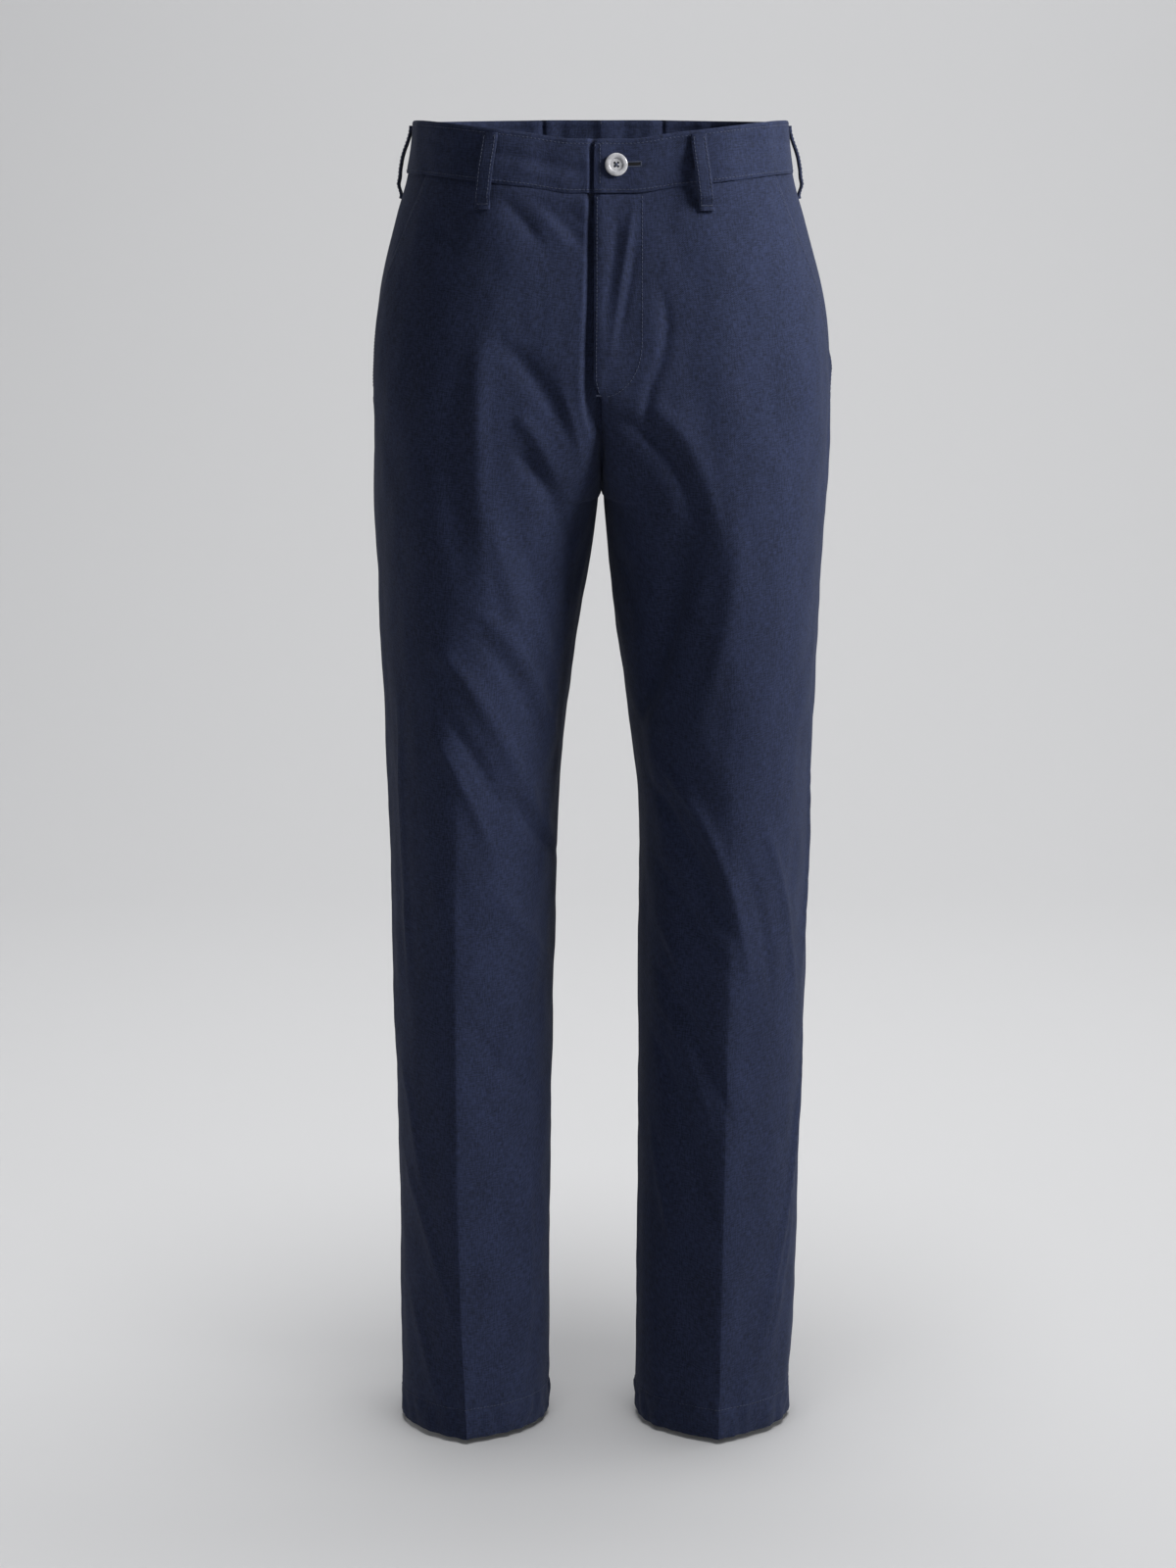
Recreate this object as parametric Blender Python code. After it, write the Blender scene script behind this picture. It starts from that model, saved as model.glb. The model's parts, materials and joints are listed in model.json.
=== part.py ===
"""Chino trousers: straight legs, slant pockets, fly front, belt loops, turned-up hems.

The garment stands filled out with nobody in it. Metres, +Z up, the front faces -Y and the
wearer's left is +X. The origin is the middle of the waist, level with the top of the
waistband at the side seams, which is where the wearer holds the trousers up.

Every cloth piece is a wall laid on one form. form() gives the form's surface by half of the
garment, by share of the way round (0 centre front or inseam, 1 side seam, 2 centre back or
inseam) and by height.
"""
import math

import bpy
import numpy as np
from mathutils import Matrix, Vector

# Driving sizes
LENGTH = 1.050           # side seam, waistband included
BAND = 0.040             # waistband height
FRONT_DIP = 0.0155       # the top edge is this much lower at the centre front than at the sides
BACK_RISE = 0.0048       # and this much higher at the centre back
CROTCH = -0.289          # height of the fork
CROTCH_Y = 0.025         # how far back the fork lies
GAP = 0.0003             # between two pieces at a seam
CLOTH = 0.0016           # wall of one layer with its seam allowance
BAND_WALL = 0.0026       # wall of the waistband, doubled and faced
BAND_PROUD = 0.0006      # how far the waistband stands out past the panels
HEM = 0.025              # turned-up depth at each leg end
COLUMNS = 14             # mesh columns across a panel
ROWS = 27                # mesh rows down a panel

FLY_LAP = 0.0062         # the left front laps past the centre line by this
FLY_WIDTH = 0.031        # from the centre line to the straight of the J
FLY_TUCK = 0.0050        # the right front lies this far behind the lap
FLY_BOTTOM = -0.207
FLY_TURN = 0.72          # the J leaves the straight this far down the fly
FLY_ROWS = 14
FLY_COLUMNS = 6
BAND_UNDERLAP = 0.030    # the right waistband runs on behind the left one by this
BAND_STEP = 0.05         # share between two columns of the waistband
CENTRE_RUN = 0.110       # a share of 1 is this much cloth next to the centre front
POCKET_SHARE = 0.80      # where the pocket mouth meets the waistband, as a share
POCKET_BOTTOM = -0.214   # where it meets the side seam

LOOP_WIDTH = 0.012
LOOP_TOP = 0.0035        # a belt loop starts this far under the waistband's top edge
LOOP_BELOW = 0.020       # and ends this far under the waistband
LOOP_ROWS = 14
LOOP_SPACE = 0.0064      # room for the belt behind a loop

BUTTON_RADIUS = 0.0085
BUTTON_THICK = 0.0030
BUTTON_SIDES = 32
HOLE_RADIUS = 0.0009
HOLE_REACH = 0.0022      # from the middle of the button to the middle of a hole
BUTTON_X = 0.0105
BUTTON_Z = -0.0350

# Widths of each half in metres from the centre line, by height.
WIDTH_COLUMNS = ("height", "inseam", "side", "front_crest", "back_crest")
WIDTHS = {
    "left": (
        (0.030, 0.0002, 0.1445, 0.055, 0.055),
        (-0.020, 0.0002, 0.1458, 0.056, 0.058),
        (-0.040, 0.0002, 0.1490, 0.057, 0.060),
        (-0.075, 0.0002, 0.1580, 0.060, 0.066),
        (-0.120, 0.0002, 0.1700, 0.066, 0.074),
        (-0.165, 0.0002, 0.1772, 0.074, 0.082),
        (-0.240, 0.0002, 0.1796, 0.086, 0.090),
        (-0.290, 0.0014, 0.1780, 0.092, 0.092),
        (-0.335, 0.0050, 0.1760, 0.095, 0.092),
        (-0.430, 0.0170, 0.1722, 0.099, 0.094),
        (-0.520, 0.0280, 0.1687, 0.101, 0.096),
        (-0.650, 0.0306, 0.1658, 0.101, 0.098),
        (-0.780, 0.0311, 0.1627, 0.099, 0.097),
        (-0.920, 0.0307, 0.1598, 0.097, 0.095),
        (-1.060, 0.0294, 0.1555, 0.095, 0.092),
    ),
    "right": (
        (0.030, 0.0002, 0.1458, 0.055, 0.055),
        (-0.020, 0.0002, 0.1476, 0.056, 0.058),
        (-0.040, 0.0002, 0.1508, 0.057, 0.060),
        (-0.075, 0.0002, 0.1602, 0.060, 0.066),
        (-0.120, 0.0002, 0.1716, 0.067, 0.074),
        (-0.165, 0.0002, 0.1782, 0.076, 0.082),
        (-0.240, 0.0002, 0.1797, 0.090, 0.090),
        (-0.290, 0.0016, 0.1793, 0.098, 0.092),
        (-0.335, 0.0074, 0.1775, 0.102, 0.094),
        (-0.430, 0.0232, 0.1738, 0.108, 0.099),
        (-0.520, 0.0333, 0.1713, 0.112, 0.103),
        (-0.650, 0.0382, 0.1688, 0.1145, 0.106),
        (-0.780, 0.0401, 0.1669, 0.1150, 0.106),
        (-0.920, 0.0412, 0.1648, 0.1135, 0.106),
        (-1.060, 0.0431, 0.1648, 0.1080, 0.106),
    ),
}

# Depths shared by both halves: where the front crest, side seam, back crest and inseam lie,
# how rounded the section is at each crest (1 round, 0 a sharp crease), and its fullness.
DEPTH_COLUMNS = ("height", "front", "side", "back", "inseam", "front_round", "back_round", "full")
DEPTHS = (
    (0.030, -0.1110, 0.000, 0.1130, 0.025, 1.00, 1.00, 0.60),
    (-0.040, -0.1165, 0.000, 0.1210, 0.025, 1.00, 1.00, 0.60),
    (-0.120, -0.1240, 0.003, 0.1420, 0.025, 1.00, 1.00, 0.60),
    (-0.200, -0.1265, 0.006, 0.1490, 0.025, 1.00, 1.00, 0.60),
    (-0.290, -0.1210, 0.010, 0.1370, 0.025, 1.00, 1.00, 0.58),
    (-0.400, -0.1080, 0.012, 0.1210, 0.022, 1.00, 1.00, 0.56),
    (-0.550, -0.0900, 0.014, 0.1080, 0.020, 0.90, 0.95, 0.56),
    (-0.700, -0.0780, 0.016, 0.1030, 0.020, 0.60, 0.80, 0.57),
    (-0.900, -0.0680, 0.018, 0.1010, 0.020, 0.42, 0.70, 0.58),
    (-1.060, -0.0620, 0.020, 0.1010, 0.020, 0.35, 0.65, 0.58),
)

# The front and the back of the rise, from where each leaves the belly or seat to the fork.
RISE_FRONT = {"top": -0.195, "power": 1.70}
RISE_BACK = {"top": -0.165, "power": 2.10}
FORK_EASE = (-0.215, -0.360)   # the cloth beside the centre seams eases in over these heights

# The largest folds: half of the garment, side of it, the two ends as (x, z), half width and
# height. A trough has a negative height.
FOLDS = (
    ("right", "front", (-0.105, -0.045), (-0.035, -0.085), 0.012, -0.0028),
    ("right", "front", (-0.066, -0.180), (-0.022, -0.235), 0.016, -0.0035),
    ("right", "front", (-0.060, -0.255), (-0.022, -0.305), 0.014, -0.0030),
    ("right", "front", (-0.085, -0.370), (-0.035, -0.460), 0.016, 0.0035),
    ("right", "front", (-0.120, -0.405), (-0.050, -0.540), 0.020, 0.0040),
    ("right", "front", (-0.088, -0.400), (-0.036, -0.480), 0.014, -0.0035),
    ("left", "front", (0.005, -0.230), (0.075, -0.310), 0.018, -0.0040),
    ("left", "front", (0.072, -0.318), (0.030, -0.465), 0.018, -0.0060),
    ("left", "front", (0.052, -0.510), (0.110, -0.640), 0.018, 0.0040),
    ("left", "front", (0.048, -0.520), (0.100, -0.650), 0.014, -0.0030),
    ("left", "front", (0.155, -0.780), (0.130, -0.940), 0.012, 0.0025),
    ("left", "back", (0.020, -0.310), (0.110, -0.270), 0.020, -0.0050),
    ("right", "back", (-0.020, -0.315), (-0.115, -0.272), 0.020, -0.0045),
    ("left", "back", (0.045, -0.480), (0.120, -0.560), 0.020, -0.0045),
    ("right", "back", (-0.150, -0.500), (-0.060, -0.575), 0.020, -0.0045),
)

NAVY = (0.034, 0.041, 0.070, 1.0)
GREY = (0.42, 0.42, 0.43, 1.0)


def along(columns, table, name, height):
    """One column of a table at any height, on a smooth curve through its rows."""
    rows = np.array(sorted(table))
    heights = rows[:, 0]
    values = rows[:, columns.index(name)]
    slopes = np.gradient(values, heights)
    below = np.clip(np.searchsorted(heights, height) - 1, 0, len(heights) - 2)
    step = heights[below + 1] - heights[below]
    t = np.clip((height - heights[below]) / step, 0, 1)
    rise = t * t * (3 - 2 * t)
    ends = values[below] * (1 - rise) + values[below + 1] * rise
    lean_in = slopes[below] * step * t * (1 - t) ** 2
    lean_out = slopes[below + 1] * step * t * t * (1 - t)
    return ends + lean_in - lean_out


def smooth_step(start, end, value):
    """0 before start, 1 past end, and a smooth S between them."""
    t = np.clip((value - start) / (end - start), 0, 1)
    return t * t * (3 - 2 * t)


def seat_line(rise, crest, height):
    """Depth of the centre seam at a height: on the crest above, curving to the fork below."""
    down = np.clip((rise["top"] - height) / (rise["top"] - CROTCH), 0, 1)
    left = (1 - down ** rise["power"]) ** (1 / rise["power"])
    return CROTCH_Y + (crest - CROTCH_Y) * left


def quarter(flank, crest, flank_round, crest_round, full, t):
    """A quarter of a section, from its flank (t = 0) to its crest (t = 1)."""
    across = crest[0] - flank[0]
    deep = crest[1] - flank[1]
    flank_reach = 1 / 3 + flank_round * (full - 1 / 3)
    crest_reach = 1 / 3 + crest_round * (full - 1 / 3)
    handle_1 = (flank[0] + (1 - flank_round) / 3 * across, flank[1] + flank_reach * deep)
    handle_2 = (crest[0] - crest_reach * across, crest[1] - (1 - crest_round) / 3 * deep)
    weights = ((1 - t) ** 3, 3 * (1 - t) ** 2 * t, 3 * (1 - t) * t ** 2, t ** 3)
    corners = (flank, handle_1, handle_2, crest)
    return [sum(w * corner[axis] for w, corner in zip(weights, corners)) for axis in (0, 1)]


def form(half, share, height):
    """Points of the form, as an array of x, y, z. A share below 0 or above 2 runs on past
    the centre line into the other half."""
    share, height = np.broadcast_arrays(np.asarray(share, float), np.asarray(height, float))
    past = (share < 0) | (share > 2)
    if past.any():
        other = "left" if half == "right" else "right"
        here = form(half, np.clip(share, 0, 2), height)
        there = form(other, np.clip(np.where(share < 0, -share, 4 - share), 0, 2), height)
        return np.where(past[..., None], there, here)

    def width(name):
        return along(WIDTH_COLUMNS, WIDTHS[half], name, height)

    def depth(name):
        return along(DEPTH_COLUMNS, DEPTHS, name, height)

    above = height > CROTCH
    front = depth("front")
    back = depth("back")
    full = depth("full")
    centre_x = np.where(above, GAP / 2, np.maximum(width("inseam"), GAP / 2))
    inseam = depth("inseam")
    front_centre = np.where(above, seat_line(RISE_FRONT, front - 0.001, height), inseam)
    back_centre = np.where(above, seat_line(RISE_BACK, back - 0.001, height), inseam)
    eased = smooth_step(*FORK_EASE, height)
    front_flank = front + (inseam - front) * eased
    back_flank = back + (inseam - back) * eased
    centre_round = smooth_step(-0.190, -0.270, height)
    side = (width("side"), depth("side"))
    front_crest = (width("front_crest"), front)
    back_crest = (width("back_crest"), back)
    front_round = np.clip(depth("front_round"), 0, 1)
    back_round = np.clip(depth("back_round"), 0, 1)
    t = share * 2 - np.minimum(np.floor(share * 2), 3)
    parts = (
        quarter((centre_x, front_flank), front_crest, centre_round, front_round, full, t),
        quarter(side, front_crest, 1.0, front_round, full, 1 - t),
        quarter(side, back_crest, 1.0, back_round, full, t),
        quarter((centre_x, back_flank), back_crest, centre_round, back_round, full, 1 - t),
    )
    which = np.minimum(np.floor(share * 2), 3).astype(int)
    x = np.choose(which, [part[0] for part in parts])
    y = np.choose(which, [part[1] for part in parts])
    y = y + np.where(which == 0, (front_centre - front_flank) * (1 - t) ** 6, 0)
    y = y + np.where(which == 3, (back_centre - back_flank) * t ** 6, 0)
    mirror = 1 if half == "left" else -1
    return np.stack([mirror * x, y, height + 0 * x], axis=-1)


def outward(half, share, height):
    """Unit normals of the form, pointing out of the garment. Above the rise the form is
    smooth across the centre line; below it each half ends there."""
    reach = 0.01
    middle = np.where(height > RISE_BACK["top"], share, np.clip(share, reach, 2 - reach))
    run = form(half, middle + reach, height) - form(half, middle - reach, height)
    drop = form(half, share, height - 0.004) - form(half, share, height + 0.004)
    normal = np.cross(drop, run) * (1 if half == "left" else -1)
    return normal / np.linalg.norm(normal, axis=-1, keepdims=True)


def band_top(share):
    """Height of the waistband's top edge: it dips at the front and rises at the back."""
    dip = FRONT_DIP * (1 - smooth_step(0.25, 0.93, share))
    return BACK_RISE * smooth_step(0.85, 1.60, share) - dip


def fold_lift(half, points, side):
    """How far the largest folds lift or sink each point of a panel."""
    lift = np.zeros(points.shape[:-1])
    for fold_half, fold_side, start, end, spread, height in FOLDS:
        if (fold_half, fold_side) != (half, side):
            continue
        run = np.array(end) - np.array(start)
        flat = points[..., (0, 2)] - np.array(start)
        t = np.clip((flat @ run) / (run @ run), 0, 1)
        away = np.linalg.norm(flat - t[..., None] * run, axis=-1)
        lift += height * np.exp(-(away / spread) ** 2)
    return lift


def pull_edge(points, line, inner):
    """Draw one edge line of a grid back by half a seam gap, toward the next line."""
    run = points[inner] - points[line]
    points[line] += run / np.linalg.norm(run, axis=-1, keepdims=True) * GAP / 2


def make_solid(name, outer, inner, material, ring=False):
    """A closed wall between two grids of points, as one object. A ring joins its ends."""
    rows, columns = outer.shape[:2]
    count = rows * columns
    last = columns if ring else columns - 1
    faces = []

    def at(row, column, layer):
        return layer * count + row * columns + column % columns

    for row in range(rows - 1):
        for column in range(last):
            corners = ((row, column), (row + 1, column), (row + 1, column + 1), (row, column + 1))
            faces.append([at(r, c, 0) for r, c in corners])
            faces.append([at(r, c, 1) for r, c in reversed(corners)])
    for column in range(last):
        faces.append([at(0, column, 0), at(0, column + 1, 0), at(0, column + 1, 1), at(0, column, 1)])
        end = rows - 1
        faces.append([at(end, column + 1, 0), at(end, column, 0), at(end, column, 1),
                      at(end, column + 1, 1)])
    if not ring:
        end = columns - 1
        for row in range(rows - 1):
            faces.append([at(row + 1, 0, 0), at(row, 0, 0), at(row, 0, 1), at(row + 1, 0, 1)])
            faces.append([at(row, end, 0), at(row + 1, end, 0), at(row + 1, end, 1),
                          at(row, end, 1)])
    vertices = np.concatenate([outer.reshape(-1, 3), inner.reshape(-1, 3)])
    mesh = bpy.data.meshes.new(name)
    mesh.from_pydata(vertices.tolist(), [], faces)
    if volume(mesh) < 0:
        mesh.flip_normals()
    mesh.materials.append(material)
    mesh.shade_smooth()
    piece = bpy.data.objects.new(name, mesh)
    bpy.context.collection.objects.link(piece)
    return piece


def volume(mesh):
    """Six times the volume that the mesh closes; negative where it is inside out."""
    total = 0.0
    for face in mesh.polygons:
        first, *rest = [mesh.vertices[i].co for i in face.vertices]
        for second, third in zip(rest, rest[1:]):
            total += first.dot(second.cross(third))
    return total


def make_material(name, color, roughness, metallic=0.0):
    """A plain material in the colour of the cloth or the button."""
    material = bpy.data.materials.new(name)
    material.use_nodes = True
    shader = material.node_tree.nodes["Principled BSDF"]
    shader.inputs["Base Color"].default_value = color
    shader.inputs["Roughness"].default_value = roughness
    shader.inputs["Metallic"].default_value = metallic
    return material


def pocket_mouth(height):
    """Share at which the front panel ends: the slanted mouth, then the side seam."""
    down = np.clip((-BAND - height) / (-BAND - POCKET_BOTTOM), 0, 1)
    return POCKET_SHARE + (1 - POCKET_SHARE) * down


def to_mouth(share, height):
    """Shares of a front, its outer half squeezed to end at the pocket mouth."""
    return np.where(share > 0.5, 0.5 + (share - 0.5) * (pocket_mouth(height) * 2 - 1), share)


def lap_fade(height, below=0.0):
    """1 down the fly, easing to 0 past its bottom, where the fronts meet edge to edge."""
    return 1 - smooth_step(FLY_BOTTOM + 0.020 - below, FLY_BOTTOM - 0.015 - below, height)


def panel_grid(half, side):
    """Shares and heights of a panel's mesh: rows crowd at the fork and run even at the side.
    The left front runs on past the centre line, as the fly's lap."""
    spread = np.linspace(0, 1, COLUMNS + 1)
    share = spread if side == "front" else 2 - spread
    down = np.linspace(0, 1, ROWS + 1)[:, None]
    fine = np.linspace(-BAND, -LENGTH, 400)
    edge = form(half, share[0], fine)
    run = np.concatenate([[0], np.cumsum(np.linalg.norm(np.diff(edge, axis=0), axis=1))])
    inner = np.interp(down, run / run[-1], fine)
    outer = -BAND - down * (LENGTH - BAND)
    height = inner + (outer - inner) * smooth_step(0, 1, spread)
    top = band_top(to_mouth(share, -BAND) if side == "front" else share) - BAND
    height = height + (top - height[0]) * (1 - smooth_step(0, 0.20, down))
    share = to_mouth(share, height) if side == "front" else np.broadcast_to(share, height.shape)
    if (half, side) == ("left", "front"):
        lap = FLY_LAP / (2 * along(WIDTH_COLUMNS, WIDTHS[half], "front_crest", height))
        share = share - lap * lap_fade(height) * (1 - spread) ** 4
    return share, height


def make_panel(half, side, material):
    """A front or back: one wall from the waistband to the hem, its largest folds in it.
    Gives its outer points and normals, for the pieces that lie on it."""
    share, height = panel_grid(half, side)
    normal = outward(half, share, height)
    outer = form(half, share, height)
    lift = fold_lift(half, outer, side)
    inset = smooth_step(0, 0.03, np.minimum(share, 2 - share)) * smooth_step(0, 0.06, abs(share - 1))
    tuck = np.zeros_like(share)
    if (half, side) == ("right", "front"):
        tuck = FLY_TUCK * smooth_step(0.20, 0.06, share) * lap_fade(height, below=0.036)
    outer = outer + normal * (lift * inset - tuck)[..., None]
    pull_edge(outer, (slice(None), 0), (slice(None), 1))
    pull_edge(outer, (slice(None), -1), (slice(None), -2))
    pull_edge(outer, (0,), (1,))
    make_solid(f"{side}_{half}", outer, outer - normal * CLOTH, material)
    return outer, normal


def between_rows(grid, row):
    """The line of points a fractional number of rows down a panel's grid."""
    whole = int(row)
    part = row - whole
    return grid[whole] * (1 - part) + grid[whole + 1] * part


def make_waistband(half, material):
    """Half of the waistband. The left end laps over the right one, which runs on behind it."""
    start = -(FLY_LAP if half == "left" else BAND_UNDERLAP) / CENTRE_RUN
    rest = np.arange(0.10 + BAND_STEP, 1.99, BAND_STEP)
    share = np.concatenate([np.linspace(start, 0.10, 6), rest, [2.0]])
    down = np.linspace(0, 1, 3)[:, None]
    height = band_top(share) - down * (BAND - GAP)
    share = np.broadcast_to(share, height.shape)
    normal = outward(half, share, height)
    tucked = (BAND_WALL + 3 * GAP) * smooth_step(0.16, 0.07, share) if half == "right" else 0 * share
    outer = form(half, share, height) + normal * (BAND_PROUD - tucked)[..., None]
    pull_edge(outer, (slice(None), -1), (slice(None), -2))
    return make_solid(f"waistband_{half}", outer, outer - normal * BAND_WALL, material)


def share_at(half, x, height):
    """Share at which the form's front stands at a given x."""
    shares = np.linspace(-0.5, 0.98, 150)
    xs = form(half, shares, height)[:, 0]
    order = np.argsort(xs)
    return float(np.interp(x, xs[order], shares[order]))


def make_fly(panels, material):
    """The fly: the doubled edge behind the left front's lap, out to the J where it is sewn.
    Its points are the left front's own, moved in."""
    rows, columns = FLY_ROWS, FLY_COLUMNS
    front, normals = panels["front", "left"]
    lowest = np.interp(-FLY_BOTTOM, -front[:, 0, 2], np.arange(len(front)))
    outer = np.zeros((rows + 1, columns + 1, 3))
    depth = np.zeros_like(outer)
    for row in range(rows + 1):
        down = row / rows
        line = between_rows(front, lowest * down)
        facing = between_rows(normals, lowest * down)
        bend = max(0.0, (down - FLY_TURN) / (1 - FLY_TURN))
        edge = max(0.002, FLY_WIDTH * math.sqrt(1 - bend ** 2.4))
        x = np.linspace(line[0, 0] + GAP, edge, columns + 1)
        for axis in range(3):
            outer[row, :, axis] = np.interp(x, line[:, 0], line[:, axis])
            depth[row, :, axis] = np.interp(x, line[:, 0], facing[:, axis])
    outer = outer - depth * (CLOTH + 2 * GAP)
    return make_solid("fly", outer, outer - depth * CLOTH, material)


def make_pocket_facing(half, panels, material):
    """The cloth behind a slanted pocket mouth, from under the front out to the side seam."""
    outer, normal = panels["front", half]
    share, height = panel_grid(half, "front")
    rows = int(np.sum(height[:, -1] > POCKET_BOTTOM)) + 1
    under = outer[:rows, -3:] - normal[:rows, -3:] * (CLOTH + GAP)
    fill = np.array((1 / 3, 2 / 3, 1.0))
    level = height[:rows, -1:]
    open_share = pocket_mouth(level) + (1 - pocket_mouth(level)) * fill
    fade = 1 - smooth_step(0, 1, np.linspace(0, 1, rows)[:, None])
    level = level + (band_top(open_share[0]) - BAND - level[0]) * fade
    sunk = (CLOTH + GAP) * (1 - fill)
    past = form(half, open_share, level) - outward(half, open_share, level) * sunk[:, None]
    grid = np.concatenate([under, past], axis=1)
    grid[-1] = (grid[-1] + grid[-2]) / 2
    depth = np.concatenate([normal[:rows, -3:], outward(half, open_share, level)], axis=1)
    pull_edge(grid, (slice(None), -1), (slice(None), -2))
    pull_edge(grid, (0,), (1,))
    return make_solid(f"pocket_facing_{half}", grid, grid - depth * CLOTH, material)


def make_hem(half, material):
    """The turned-up end of a leg, a ring just inside it."""
    share = np.linspace(0, 2, 4 * 7 + 1)[:-1]
    down = np.linspace(0, 1, 3)[:, None]
    height = -LENGTH + HEM * (1 - down) + 0 * share
    share = np.broadcast_to(share, height.shape)
    normal = outward(half, share, height)
    outer = form(half, share, height) - normal * (CLOTH + 2 * GAP)
    return make_solid(f"hem_{half}", outer, outer - normal * CLOTH, material, ring=True)


def make_loop(name, half, top_share, bottom_share, material):
    """A belt loop: a flat strip caught at the waistband's top edge and below its seam."""
    down = np.linspace(0, 1, LOOP_ROWS + 1)
    share = top_share + (bottom_share - top_share) * down
    height = band_top(share) - LOOP_TOP - down * (BAND - LOOP_TOP + LOOP_BELOW)
    normal = outward(half, share, height)
    run = form(half, share + 0.02, height) - form(half, share - 0.02, height)
    across = run / np.linalg.norm(run, axis=1, keepdims=True)
    bow = smooth_step(0.02, 0.24, down) * smooth_step(0.98, 0.74, down)
    stand = (2 * GAP + BAND_PROUD + LOOP_SPACE * bow)[:, None]
    middle = form(half, share, height) + normal * stand
    edges = (-LOOP_WIDTH / 2, 0.0, LOOP_WIDTH / 2)
    inner = np.stack([middle + across * edge for edge in edges], axis=1)
    return make_solid(name, inner + normal[:, None] * CLOTH, inner, material)


def make_button(material):
    """A four-hole button with a raised rim, in front of the lapped waistband end."""
    share = share_at("left", BUTTON_X, BUTTON_Z)
    centre = form("left", share, BUTTON_Z)
    normal = outward("left", np.array(share), np.array(BUTTON_Z))
    profile = ((0.80, 0.0), (1.0, 0.30), (1.0, 0.75), (0.93, 1.0), (0.80, 1.0), (0.68, 0.72))
    sides = BUTTON_SIDES
    vertices = []
    faces = []
    for radius, level in profile:
        for side in range(sides):
            angle = 2 * math.pi * side / sides
            reach = BUTTON_RADIUS * radius
            vertices.append((reach * math.cos(angle), reach * math.sin(angle), BUTTON_THICK * level))
    rings = len(profile)
    for ring in range(rings - 1):
        for side in range(sides):
            start = ring * sides
            after = (side + 1) % sides
            faces.append((start + side, start + after, start + sides + after, start + sides + side))
    faces.append(tuple(reversed(range(sides))))
    faces.append(tuple(range((rings - 1) * sides, rings * sides)))
    mesh = bpy.data.meshes.new("button")
    mesh.from_pydata(vertices, [], faces)
    mesh.materials.append(material)
    mesh.shade_smooth()
    button = bpy.data.objects.new("button", mesh)
    bpy.context.collection.objects.link(button)
    facing = Vector(normal).to_track_quat("Z", "Y").to_matrix().to_4x4()
    seat = Vector(centre) + Vector(normal) * (BAND_PROUD + GAP)
    place = Matrix.Translation(seat) @ facing
    button.matrix_world = place
    for turn in range(4):
        angle = math.pi / 4 + turn * math.pi / 2
        offset = Vector((math.cos(angle), math.sin(angle), 0)) * HOLE_REACH
        bpy.ops.mesh.primitive_cylinder_add(vertices=10, radius=HOLE_RADIUS, depth=BUTTON_THICK * 3)
        cutter = bpy.context.object
        cutter.name = f"hole_{turn}"
        cutter.matrix_world = place @ Matrix.Translation(offset)
        cutter.hide_render = True
        cutter.display_type = "WIRE"
        hole = button.modifiers.new(f"hole {turn}", "BOOLEAN")
        hole.operation = "DIFFERENCE"
        hole.object = cutter
    return button


for stale in list(bpy.data.objects):
    bpy.data.objects.remove(stale, do_unlink=True)

panel_points = {}
for piece_half in ("left", "right"):
    for piece_side in ("front", "back"):
        cloth = make_material(f"{piece_side}_{piece_half}_cloth", NAVY, 0.9)
        panel_points[piece_side, piece_half] = make_panel(piece_half, piece_side, cloth)
    make_waistband(piece_half, make_material(f"waistband_{piece_half}_cloth", NAVY, 0.9))
    facing_cloth = make_material(f"pocket_facing_{piece_half}_cloth", NAVY, 0.9)
    make_pocket_facing(piece_half, panel_points, facing_cloth)
    make_hem(piece_half, make_material(f"hem_{piece_half}_cloth", NAVY, 0.9))

make_fly(panel_points, make_material("fly_cloth", NAVY, 0.9))

LOOPS = (
    # name, half, share at the top end, share at the bottom end
    ("front_left", "left", share_at("left", 0.0716, -0.015), share_at("left", 0.0783, -0.070)),
    ("front_right", "right", share_at("right", -0.083, -0.015), share_at("right", -0.0897, -0.070)),
    ("side_left", "left", 1.03, 1.03),
    ("side_right", "right", 1.03, 1.03),
    ("back", "left", 2.0, 2.0),
)
for loop_place, loop_half, loop_top, loop_bottom in LOOPS:
    loop_cloth = make_material(f"loop_{loop_place}_cloth", NAVY, 0.9)
    make_loop(f"belt_loop_{loop_place}", loop_half, loop_top, loop_bottom, loop_cloth)

make_button(make_material("button_horn", GREY, 0.3))
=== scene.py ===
"""Chino trousers: the finished cloth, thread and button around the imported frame."""

import json
import math

import bpy
import numpy as np
from mathutils import Matrix, Vector

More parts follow.
